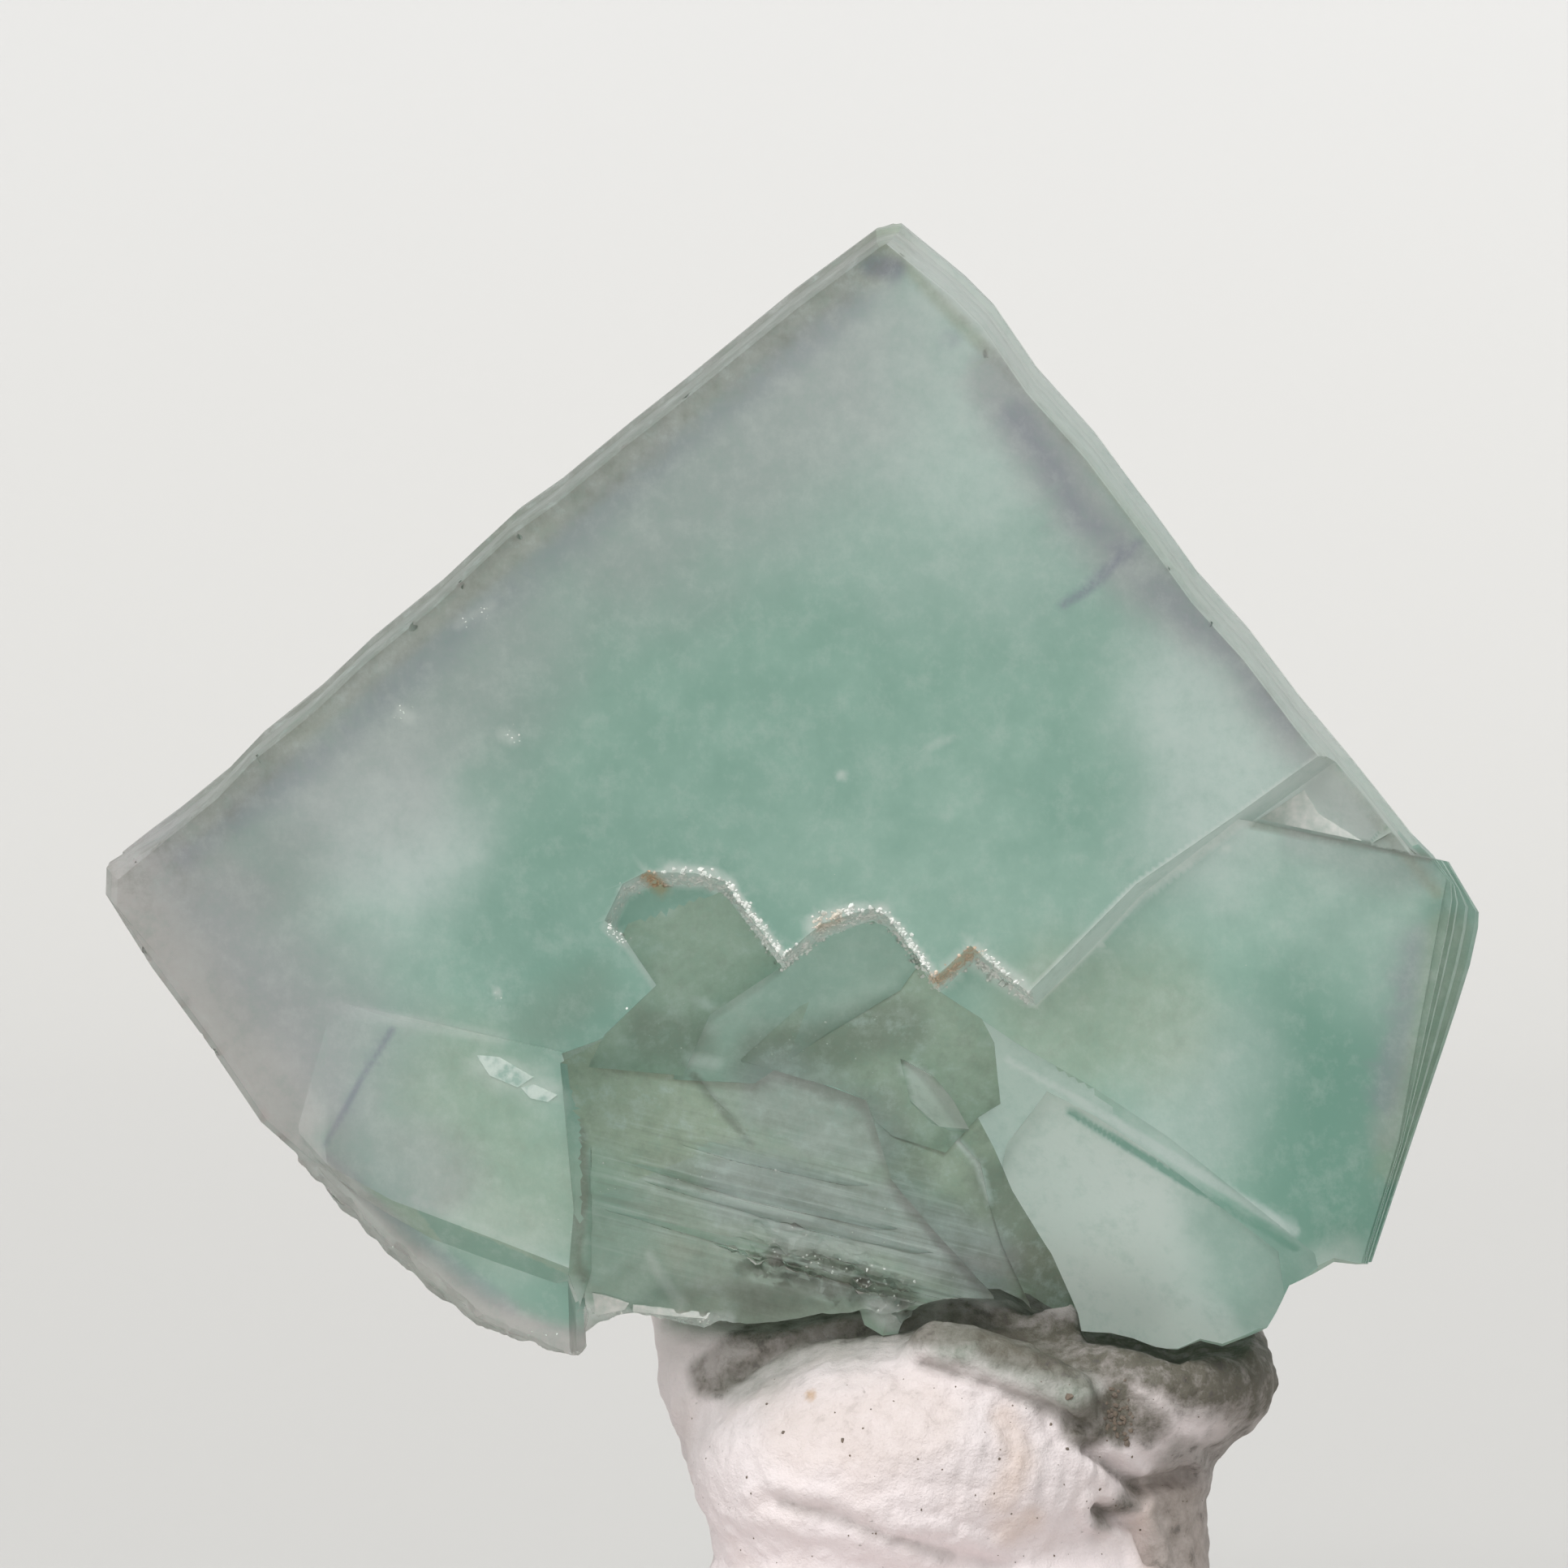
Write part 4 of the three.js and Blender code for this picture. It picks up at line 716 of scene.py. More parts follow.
class FLUORITE_OT_crystal(bpy.types.Operator):
    """Grow the crystal cluster: fine mesh, growth relief, breakage, colour zones and its material"""

    bl_idname = "fluorite.crystal"
    bl_label = "Crystal cluster"

    def execute(self, context):
        settings = context.scene.fluorite_crystal
        points, triangles = triangles_of(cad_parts[CRYSTAL_NODE])
        for coarse in (4.0, 1.6):
            triangles = even_out(points, triangles)
            points, triangles = refine(points, triangles, coarse, lambda middles: coarse)
        finest = settings.line_edge / MM
        triangles = even_out(points, triangles)
        points, triangles = refine(points, triangles, finest, crystal_mesh_sizes(settings))
        mesh = bpy.data.meshes.new("crystal")
        mesh.from_pydata(points * MM, [], triangles.tolist())
        normals = points_of(mesh, "vertex_normals", "vector")
        face_normals = points_of(mesh, "polygons", "normal")
        flat, depth = draw_back(points), (points - FACE_POINT) @ BACKWARD
        facing = np.abs(normals @ BACKWARD)
        centres = points[triangles].mean(1)
        centre_flat, centre_depth = draw_back(centres), (centres - FACE_POINT) @ BACKWARD
        wander = fractal(points, 0.7, 4, 1)

        # which faces broke, and which are the grown upper walls
        behind_layer = (centre_depth > LAYER + 0.03) & (centre_depth < BREAK_DEPTH)
        low = np.interp(centre_flat[:, 0], *LOWER_END) + UNDERSIDE
        broken = inside(centre_flat, BROKEN_END) & behind_layer
        under = (face_normals[:, 2] < LOOKS_DOWN) & (centres[:, 2] < low)
        torn = broken | under
        top_wall = ~torn & (face_normals[:, 2] > LOOKS_UP)
        shaded_left_wall = top_wall & (face_normals[:, 0] < -LOOKS_ASIDE)
        right_wall = top_wall & (face_normals[:, 0] > LOOKS_ASIDE) & (centres[:, 2] > SECOND_CUBE_TOP)

        # colours: each tone's drawn zones, and its share over each whole face under them
        shares = facet_shares(centres, face_normals, torn)
        # umber here is painted shade on the upper-left wall
        shares["umber"][shaded_left_wall] = LEFT_WALL_PAINTED_SHADE
        shares["frost"][right_wall] = RIGHT_WALL_FROST
        bright = shares["pale"] > BRIGHT
        # walls take the zones a little weaker than the front and back
        through = np.where(facing > 0.5, 1.0, 0.85)
        patches = dict.fromkeys(TONES, 0)
        for tone, strength, outline in PATCHES:
            patch = strength * inside(flat, outline) * (depth < PATCH_DEPTH) * (0.8 + 0.4 * wander)
            patches[tone] = np.maximum(patches[tone], patch)
        for tone in TONES[:-1]:
            grown = zone_values(flat, GROWN_ZONES[tone], wander) * through
            cracked = zone_values(flat, BROKEN_ZONES.get(tone, []), wander)
            if tone == "frost":
                # frosted edges go less than 4 mm deep
                grown *= smooth(-depth, -4.0, -3.4)
            grown, cracked = np.maximum(grown, patches[tone]), np.maximum(cracked, patches[tone])
            corners = np.where(torn[:, None], cracked[triangles], grown[triangles])
            if tone == "deep":
                # where a deep green mark is drawn the face's own shares give way
                clear = 1 - corners
            if tone in ("umber", "lilac"):
                corners[bright] = 0
            paint(mesh, tone, np.maximum(corners, shares[tone][:, None] * clear).ravel(), "CORNER")
        # iron stain lies on the edge of the last layer alone
        stained = zone_values(flat, OCHRE, wander) * smooth(-depth, -1.3, -1.0) * smooth(depth, 0.0, 0.1)
        paint(mesh, "ochre", stained[triangles].ravel(), "CORNER")
        wall = 1 - smooth(facing, 0.25, 0.5)
        paint(mesh, "wall", wall)

        # the slab is combed by striations that fall to the right
        fall = math.radians(STRIA_FALL)
        across = flat[:, 1] * math.cos(fall) + flat[:, 0] * math.sin(fall)
        along = flat[:, 0] * math.cos(fall) - flat[:, 1] * math.sin(fall)
        steps = fractal(np.column_stack([across * STRIAE_PER_MM, along * 0.12, 0 * along]), 1, 2, 6)
        slab = inside(flat, SLAB) * smooth(depth, LAYER, LAYER + 0.2)
        combed = slab * (0.25 + 0.75 * (1 - smooth(to_stroke(flat, COMBED_MOST), 0.7, 2.4)))
        paint(mesh, "combed", (combed[triangles] * (broken & ~bright)[:, None]).ravel(), "CORNER")

        # relief: faint hillocks on grown faces, growth lines on the walls, hackles where it broke
        crushed = np.zeros(len(points))
        np.maximum.at(crushed, triangles.ravel(), np.repeat(torn, 3))
        lines = fractal(np.column_stack([depth * 0.9, points[:, 0] * 0.04, points[:, 2] * 0.04]), 1, 2, 4)
        relief = HILLOCKS * fractal(points, 0.35, 3, 2) + GROWTH_LINES * wall * (1 - crushed) * lines
        relief += crushed * BREAK_GRAIN * fractal(points, 1.3, 4, 3)
        relief += slab * crushed * COMB_STEPS * steps
        relief += zone_values(flat, HACKLY, wander) * crushed * HACKLES * fractal(points, 2.2, 3, 7)
        points = points + normals * relief[:, None]
        mesh.vertices.foreach_set("co", (points * MM).ravel())
        mesh.update()
        mesh.set_sharp_from_angle(angle=math.radians(SHARP_ANGLE))
        piece = place("crystal_cluster", mesh, fluorite_material(settings), "fluorite")
        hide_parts(CRYSTAL_NODE)
        return {"FINISHED"}


# ---------------------------------------------------------------- small lumps
def lump_mesh(name, spots, roll, plates=((), ())):
    """One mesh of small uneven lumps, a place, an outward direction and a size for each, and of plates."""
    bm = bmesh.new()
    bmesh.ops.create_icosphere(bm, subdivisions=1, radius=1)
    shape = np.array([v.co for v in bm.verts])
    skin = np.array([[v.index for v in f.verts] for f in bm.faces])
    bm.free()
    points, faces = [], []
    for where, outward, size in spots:
        turn = np.linalg.qr(roll.normal(size=(3, 3)))[0]
        turn *= np.sign(np.linalg.det(turn))
        uneven = shape * roll.uniform(0.6, 1.15, (len(shape), 1))
        stretched = (uneven * roll.uniform(0.6, 1.2, 3)) @ turn.T
        # each lump is squashed a little onto the face
        flat_part = stretched - 0.4 * np.outer(stretched @ outward, outward)
        faces.append(skin + len(shape) * len(points))
        points.append(where + size * flat_part)
    mesh = bpy.data.meshes.new(name)
    faces = np.vstack(faces).tolist()
    if len(plates[0]):
        faces += (plates[1] + len(shape) * len(points)).tolist()
        points.append(plates[0])
    mesh.from_pydata(np.vstack(points) * MM, [], faces)
    return mesh


def seen_on(piece):
    """Gives a function that finds the place and outward direction that a drawn point has on a piece."""
    mesh = piece.data
    tree = BVHTree.FromPolygons([v.co for v in mesh.vertices], [p.vertices for p in mesh.polygons])

    def find(x, z):
        sight = Vector((x, FACE_Y, z)) - Vector(EYE)
        hit, normal, _, _ = tree.ray_cast(Vector(EYE) * MM, sight)
        return None if hit is None else (np.array(hit) / MM, np.array(normal))

    return find


# Air-filled cleavage cracks right under the skin shine silvery: white plates paint that shine as a
# reflection. Outlines, in order round each.
GLINT_FILMS = [
    [[9.24, 23.42], [10.34, 24.14], [10.68, 23.56], [11.76, 22.88], [10.4, 23.16]],
    [[12.04, 22.84], [12.46, 23.08], [13.1, 22.55]],
    [[-10.06, 17.6], [-9.5, 17.56], [-8.66, 17.06], [-9.04, 16.8], [-9.74, 17.1]],
    [[-8.96, 16.8], [-8.62, 16.88], [-8.06, 16.62], [-8.3, 16.44], [-8.74, 16.54]],
    [[-7.2, 11.75], [-6.9, 11.7], [-6.3, 11.5], [-6.4, 11.34], [-7.1, 11.2]],
    [[-6.2, 11.46], [-5.3, 11.36], [-4.3, 11.26], [-4.4, 11.12], [-5.4, 11.2], [-6.2, 11.3]],
]
THIN_GLINT_FILMS = (2, 3)  # thin enough to let the green through
FILM_RISE = 0.03  # above the face, in millimetres
FILM_DEPTH = 0.05  # and below it


def glint_film_mesh(find):
    """Points and triangles of thin closed white plates, one painted reflection for each film, sunk in the
    face where it is seen.
    """
    points, triangles = [], []
    for outline in GLINT_FILMS:
        found = [find(x, z) for x, z in outline]
        if None in found:
            raise RuntimeError("a cleavage film lies off the crystal")
        outward = np.mean([normal for _, normal in found], axis=0)
        outward /= np.linalg.norm(outward)
        ring = np.array([spot for spot, _ in found])
        start, count = sum(map(len, points)), len(ring)
        points.append(np.vstack([ring + FILM_RISE * outward, ring - FILM_DEPTH * outward]))
        for i in range(count):
            j = (i + 1) % count
            top, next_top = start + i, start + j
            low, next_low = top + count, next_top + count
            triangles += [[top, next_top, next_low], [top, next_low, low]]
            if 0 < i < count - 1:
                triangles += [[start, next_top, top], [start + count, low, next_low]]
    return np.vstack(points), np.array(triangles)


# Where grains of crushed crystal lie: [line, half width, grains per millimetre, smallest, largest].
GRAIN_LINES = [
    (LEDGE[5:16], 0.17, 120, 0.04, 0.09),
    (LEDGE[15:18], 0.14, 50, 0.03, 0.08),
    ([[-5.2, 22.0], [-4.4, 21.95], [-3.9, 21.7]], 0.22, 60, 0.05, 0.12),
    ([[-1.7, 20.85], [-0.8, 21.1], [-0.1, 21.1]], 0.2, 60, 0.05, 0.12),
    ([[2.2, 20.0], [3.2, 19.3]], 0.22, 50, 0.05, 0.12),
    (LOWER_LEFT_RIM, 0.5, 8, 0.02, 0.05),
    ([[-7.6, 11.35], [-6.4, 11.15], [-5.2, 11.1], [-3.9, 11.05]], 0.12, 60, 0.02, 0.05),
    ([[-2.8, 12.9], [-1.2, 12.6], [0.2, 11.6]], 0.35, 20, 0.02, 0.06),
    ([[-7.0, 15.0], [-3.4, 14.0], [1.6, 12.8]], 1.2, 5, 0.02, 0.055),
    ([[-9.0, 13.6], [-7.6, 13.2]], 0.5, 4, 0.015, 0.03),
    ([[-11.9, 26.2], [-11.7, 25.9]], 0.3, 40, 0.015, 0.04),
    ([[-9.5, 25.6], [-9.1, 25.3]], 0.3, 30, 0.015, 0.04),
    ([[-10.4, 28.3], [-9.7, 28.6]], 0.2, 20, 0.015, 0.035),
    ([[-9.6, 19.2], [-9.5, 18.8]], 0.15, 20, 0.015, 0.035),
    ([[-15.0, 20.6], [9.0, 22.0]], 6.0, 3, 0.008, 0.022),
    ([[-6.5, 18.6], [0.0, 17.6]], 1.0, 5, 0.02, 0.05),
]
BURIED = 0.25  # how deep a grain sits in the face, as a share of its size
def crushed_material(settings):
    # Crushed fluorite: grains of the same crystal, white because every crack in them scatters light.
    material, tree, where = new_material("fluorite_crushed")
    # cracks about 0.25 mm apart
    cracks = add_node(tree, "ShaderNodeTexNoise", {"Vector": where, "Scale": 4.0, "Detail": 3.0})
    shade = add_node(tree, "ShaderNodeMapRange", {"Value": cracks, "From Min": 0.3, "From Max": 0.7})
    body = add_node(
        tree, "ShaderNodeMix", {0: shade, 6: settings.shade, 7: settings.frost}, 2, data_type="RGBA"
    )
    streak = {"Value": cracks, "From Min": 0.36, "From Max": 0.64, "To Min": 0.35}
    streak = add_node(tree, "ShaderNodeMapRange", streak)
    thin = add_node(tree, "ShaderNodeAttribute", out="Fac", attribute_name="thin")
    thin = add_node(tree, "ShaderNodeMath", {0: thin, 1: streak}, operation="MULTIPLY")
    body = add_node(tree, "ShaderNodeMix", {0: thin, 6: body, 7: settings.green}, 2, data_type="RGBA")
    mask = add_node(tree, "ShaderNodeAttribute", out="Fac", attribute_name="ochre")
    body = add_node(tree, "ShaderNodeMix", {0: mask, 6: body, 7: settings.ochre}, 2, data_type="RGBA")
    rough = add_node(tree, "ShaderNodeMapRange", {"Value": cracks, "To Min": 0.3, "To Max": 0.6})
    shader = add_node(
        tree, "ShaderNodeBsdfPrincipled", {"Base Color": body, "Roughness": rough, "IOR": 1.434}
    )
    add_node(tree, "ShaderNodeOutputMaterial", {"Surface": shader})
    return material


class FLUORITE_OT_grains(bpy.types.Operator):
    """Lay crushed grains on the zigzag ledge and along the frosted lower edges"""

    bl_idname = "fluorite.grains"
    bl_label = "Crushed grains"

    def execute(self, context):
        settings = context.scene.fluorite_grains
        roll = np.random.RandomState(settings.seed)
        find = seen_on(bpy.data.objects["crystal_cluster"])
        spots = []
        for line, half, per_mm, smallest, largest in GRAIN_LINES:
            for a, b in zip(np.array(line[:-1]), np.array(line[1:])):
                span = np.hypot(*(b - a))
                for _ in range(max(1, round(span * per_mm))):
                    spot = a + (b - a) * roll.rand() + half * np.clip(roll.normal(size=2) * 0.5, -1, 1)
                    size = smallest + (largest - smallest) * roll.rand() ** 2
                    found = find(*spot)
                    if found:
                        spots.append((found[0] - BURIED * size * found[1], found[1], size))
        mesh = lump_mesh("grains", spots, roll, glint_film_mesh(find))
        points = points_of(mesh) / MM
        paint(mesh, "ochre", zone_values(draw_back(points), OCHRE, fractal(points, 1.0, 2, 5)))
        # the films are the mesh's last points, each with its outline twice
        thin = np.zeros(len(points))
        last = len(points)
        for index in reversed(range(len(GLINT_FILMS))):
            first = last - 2 * len(GLINT_FILMS[index])
            thin[first:last] = index in THIN_GLINT_FILMS
            last = first
        paint(mesh, "thin", thin)
        place("crushed_grains", mesh, crushed_material(settings), "fluorite")
        return {"FINISHED"}


# ---------------------------------------------------------------- the putty
# Colour zones: [line, half width, soft border, strength].
PUTTY_ZONES = {
    # The dark tone is painted shade, with some grime from handling. It darkens the recess under the
    # crystal, the roll's top, the pit, the creases and the column.
    "dirt": [
        ([[-4.2, 9.7], [-3.2, 10.5], [-0.4, 11.1], [2.0, 11.0]], 0.4, 0.4, 0.8),
        ([[6.4, 10.4], [8.0, 9.9], [9.4, 9.6]], 0.7, 0.9, 1.0),
        ([[9.6, 9.4], [9.4, 8.4], [8.0, 7.6]], 0.2, 0.6, 0.75),
        ([[7.4, 7.2], [7.5, 5.0]], 0.8, 0.4, 0.62),
        ([[4.9, 8.4], [5.8, 9.0], [6.4, 8.6]], 0.35, 0.5, 0.9),
        ([[5.75, 9.2], [5.7, 8.4]], 0.3, 0.3, 1.0),
        ([[3.0, 10.7], [6.6, 10.0]], 0.5, 0.6, 0.95),
        ([[1.4, 10.9], [3.4, 10.4], [5.0, 9.6]], 0.12, 0.4, 0.6),
        ([[5.3, 6.2], [6.2, 6.9]], 0.12, 0.4, 0.8),
        ([[-2.6, 6.5], [-1.4, 6.2], [0.0, 5.7], [1.6, 5.2]], 0.03, 0.2, 0.3),
        ([[5.2, 7.7], [6.2, 6.9], [7.4, 7.2]], 0.03, 0.25, 0.5),
        # painted shade that tones down the top of the lump, where the key light falls
        ([[-2.2, 9.0], [3.4, 8.6]], 0.5, 2.2, 0.16),
        ([[0.9, 9.95], [2.4, 9.5], [3.6, 9.05], [4.9, 8.45]], 0.02, 0.3, 0.4),
    ],
    # painted shade tinted green by light from the crystal, along the lump's top under the crystal and over
    # the tongue
    "moss": [
        ([[-3.6, 9.4], [-2.2, 10.2], [-0.8, 10.5], [1.0, 10.8]], 0.1, 0.7, 0.5),
        ([[1.8, 10.6], [3.4, 10.1], [4.9, 9.2]], 0.15, 1.0, 0.85),
    ],
    "stain": [
        ([[7.0, 6.4], [7.2, 4.6]], 0.6, 0.8, 0.25),
        ([[2.9, 8.6], [3.3, 7.6], [2.9, 6.6]], 0.05, 0.6, 0.3),
        ([[-1.8, 9.2]], 0.05, 0.12, 0.9),
        ([[3.0, 5.9], [3.6, 6.2]], 0.1, 0.5, 0.3),
        ([[-2.0, 8.2], [1.0, 8.6]], 0.4, 1.2, 0.15),
    ],
}
TONGUE = [[1.4, 10.1], [5.0, 9.0]]
RUBS = 70  # rounds of smoothing where the tongue is rubbed into the lump
WHORL = [3.0, 7.3]  # the middle of the fingerprint, as [x, z]
WHORL_FLATTENING = 0.45  # its ridges are longer upright than across
LEATHER = (0.12, 0.03)  # depth of the creases in the skin, broad and fine, in millimetres
# Creases between folds: [line, half width, depth].
CREASES = [
    ([[-2.8, 6.6], [-1.4, 6.25], [0.0, 5.75], [1.6, 5.3], [3.0, 4.9]], 0.32, 0.16),
    ([[5.0, 7.9], [6.2, 6.95], [7.4, 7.25]], 0.3, 0.35),
    ([[5.2, 6.4], [6.2, 5.9], [6.5, 5.2]], 0.25, 0.35),
    ([[-3.6, 9.7], [-2.3, 10.5], [0.6, 10.9]], 0.2, 0.2),
    ([[-2.6, 8.6], [-0.6, 8.9], [1.8, 8.5]], 0.5, 0.06),
    ([[0.9, 9.95], [2.4, 9.5], [3.6, 9.05], [4.9, 8.45]], 0.24, 0.16),
]
# Single dark grains: [x, z, size].
GRIT_SPOTS = [
    [-2.5, 8.3, 0.07], [-1.04, 8.1, 0.08], [-2.9, 9.0, 0.05], [4.1, 8.5, 0.05], [4.5, 7.9, 0.06],
    [5.3, 6.9, 0.06], [5.7, 6.5, 0.06], [6.1, 7.7, 0.05], [-3.4, 7.2, 0.05], [-3.3, 6.8, 0.04],
    [2.7, 6.8, 0.04], [6.3, 5.9, 0.05], [0.9, 6.4, 0.04], [4.55, 9.18, 0.12],
]
SCATTERED_GRAINS = 70
# More grains fill a pit under the second cube.
PIT = np.array([5.75, 8.75])
PIT_SIZE = np.array([0.2, 0.3])
PIT_GRAINS = 45


def putty_material(settings):
    # Mineral tack: a soft synthetic clay, kneaded by hand. Matt and slightly waxy, it keeps grime where it
    # was handled, and fine dust. Shade in its hollows and creases, some of it green from the crystal, is
    # painted in.
    material, tree, where = new_material("mineral_tack_kneaded")
    # tan stains a few millimetres across, and dust in specks of 0.2 mm
    mottle = add_node(tree, "ShaderNodeTexNoise", {"Vector": where, "Scale": 0.6, "Detail": 4.0})
    dust = add_node(tree, "ShaderNodeTexNoise", {"Vector": where, "Scale": 5.0, "Detail": 4.0})
    share = add_node(
        tree, "ShaderNodeMapRange", {"Value": mottle, "From Min": 0.5, "From Max": 0.8, "To Max": 0.12}
    )
    body = add_node(
        tree, "ShaderNodeMix", {0: share, 6: settings.putty, 7: settings.stain}, 2, data_type="RGBA"
    )
    # stains, grime and the painted shade sit unevenly, in patches and specks of 0.3 mm
    fine = {"Vector": where, "Scale": 1.8, "Detail": 4.0, "Roughness": 0.7}
    patchy = add_node(tree, "ShaderNodeTexNoise", fine)
    share = {"Value": patchy, "From Min": 0.35, "From Max": 0.62, "To Min": 0.78, "To Max": 1.12}
    uneven = add_node(tree, "ShaderNodeMapRange", share)
    for tone in ("stain", "moss", "dirt"):
        mask = add_node(tree, "ShaderNodeAttribute", out="Fac", attribute_name=tone)
        mask = add_node(tree, "ShaderNodeMath", {0: mask, 1: uneven}, operation="MULTIPLY", use_clamp=True)
        tint = getattr(settings, tone)
        body = add_node(tree, "ShaderNodeMix", {0: mask, 6: body, 7: tint}, 2, data_type="RGBA")
    speck = {"Value": patchy, "From Min": 0.58, "From Max": 0.68, "To Max": 0.8}
    speck = add_node(tree, "ShaderNodeMapRange", speck)
    speck = add_node(tree, "ShaderNodeMath", {0: speck, 1: mask}, operation="MULTIPLY")
    body = add_node(tree, "ShaderNodeMix", {0: speck, 6: body, 7: settings.grit}, 2, data_type="RGBA")
    fleck = add_node(
        tree, "ShaderNodeMapRange", {"Value": dust, "From Min": 0.7, "From Max": 0.78, "To Max": 0.5}
    )
    body = add_node(tree, "ShaderNodeMix", {0: fleck, 6: body, 7: settings.dirt}, 2, data_type="RGBA")
    bump = add_node(
        tree, "ShaderNodeBump", {"Height": patchy, "Strength": 0.7, "Distance": 0.16 * MM}, "Normal"
    )
    rough = add_node(tree, "ShaderNodeMapRange", {"Value": mottle, "To Min": 0.5, "To Max": 0.8})
    shader = add_node(
        tree,
        "ShaderNodeBsdfPrincipled",
        {"Base Color": body, "Roughness": rough, "Normal": bump, "IOR": 1.47},
    )
    add_node(tree, "ShaderNodeOutputMaterial", {"Surface": shader})
    return material


class FLUORITE_OT_putty(bpy.types.Operator):
    """Knead the putty stand: smooth lumps, folds, fingerprint ridges and its material"""

    bl_idname = "fluorite.putty"
    bl_label = "Putty stand"

    def execute(self, context):
        settings = context.scene.fluorite_putty
        source = bpy.data.objects.new("putty_source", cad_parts[PUTTY_NODE].data.copy())
        context.scene.collection.objects.link(source)
        remesh = source.modifiers.new("Remesh", "REMESH")
        remesh.mode = "VOXEL"
        remesh.voxel_size = settings.voxel
        soften = source.modifiers.new("Smooth", "SMOOTH")
        soften.factor = 0.5
        soften.iterations = 8
        mesh = bpy.data.meshes.new_from_object(source.evaluated_get(context.evaluated_depsgraph_get()))
        bpy.data.objects.remove(source)
        mesh.name = "putty"
        points = points_of(mesh) / MM
        # the tongue is rubbed into the lump under it
        rubbed = 0.5 * (1 - smooth(to_stroke(draw_back(points), TONGUE), 0.9, 1.4))
        edges = np.zeros(2 * len(mesh.edges), int)
        mesh.edges.foreach_get("vertices", edges)
        edges = edges.reshape(-1, 2)
        ends = np.concatenate([edges[:, 0], edges[:, 1]])
        others = np.concatenate([edges[:, 1], edges[:, 0]])
        count = np.bincount(ends, minlength=len(points))
        for _ in range(RUBS):
            middle = np.column_stack([np.bincount(ends, points[others, i], len(points)) for i in range(3)])
            points += rubbed[:, None] * (middle / count[:, None] - points)
        mesh.vertices.foreach_set("co", (points * MM).ravel())
        mesh.update()
        normals = points_of(mesh, "vertex_normals", "vector")
        flat = draw_back(points)
        front = smooth(-normals[:, 1], -0.1, 0.4)
        wander = fractal(points, 0.5, 4, 6)
        # fingerprint ridges close round a whorl and stand upright further left, pressed in here and there
        upright = (points[:, 2] - WHORL[1]) * WHORL_FLATTENING
        across = np.hypot(points[:, 0] - WHORL[0], upright) + 0.4 * wander
        across += 0.08 * fractal(points, 1.2, 2, 13)
        ridges = np.cos(2 * math.pi * across / (settings.ridge / MM))
        pressed = front * smooth(points[:, 2], 4.4, 5.6) * smooth(-points[:, 2], -10.8, -9.8)
        pressed *= smooth(fractal(points, 0.3, 3, 8), -0.7, 0.3)
        pressed *= 0.45 + 0.55 * smooth(points[:, 0], -2, 1)
        relief = settings.relief / MM * ridges * pressed + 0.06 * wander + 0.03 * fractal(points, 1.6, 3, 9)
        # skin like soft leather: rounded cells with creases between them, 0.6 mm across
        relief += LEATHER[0] * np.abs(fractal(points, 1.4, 2, 14))
        relief += LEATHER[1] * np.abs(fractal(points, 3.0, 1, 15))
        # each crease has a low lip beside it
        for line, half, depth in CREASES:
            away = to_stroke(flat, line) + 0.08 * wander
            relief -= front * depth * (1 - smooth(away, 0, half))
            relief += front * 0.35 * depth * (1 - smooth(np.abs(away - 1.6 * half), 0, half))
        # the back was pressed flat by broad fingers, and the foot stays on the floor
        back = smooth(normals[:, 1], -0.2, 0.6) * smooth(-points[:, 2], -9.6, -8.0)
        relief += back * (0.35 * fractal(points, 0.24, 3, 12) - 0.25)
        relief *= smooth(points[:, 2], 0.0, 0.5)
        for tone, strokes in PUTTY_ZONES.items():
            value = zone_values(flat, strokes, wander) * smooth(-normals[:, 1], -0.7, -0.1)
            if tone == "dirt":
                # what lies behind the big lump is darkened: painted shade in the recess, and grime from
                # handling
                shade_and_grime_behind = 0.75 * smooth(points[:, 1], 0.2, 2.4) * smooth(flat[:, 0], -5.6, -3.0)
                shade_and_grime_behind *= 1 - 0.7 * smooth(points[:, 1] + wander, 3.4, 6.0)
                value = np.maximum(value, shade_and_grime_behind)
            paint(mesh, tone, value)
        points = points + normals * relief[:, None]
        mesh.vertices.foreach_set("co", (points * MM).ravel())
        mesh.shade_smooth()
        piece = place("putty_lump", mesh, putty_material(settings), "putty")
        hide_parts(PUTTY_NODE)
        return {"FINISHED"}


def grit_material(settings):
    # Grit: fine rock dust pressed into the tack, dark and matt.
    material, tree, where = new_material("rock_grit")
    # grains of 0.1 mm
    grain = add_node(tree, "ShaderNodeTexNoise", {"Vector": where, "Scale": 9.0, "Detail": 2.0})
    body = add_node(
        tree, "ShaderNodeMix", {0: grain, 6: settings.grit, 7: settings.tan_grit}, 2, data_type="RGBA"
    )
    shader = add_node(tree, "ShaderNodeBsdfPrincipled", {"Base Color": body, "Roughness": 0.8})
    add_node(tree, "ShaderNodeOutputMaterial", {"Surface": shader})
    return material


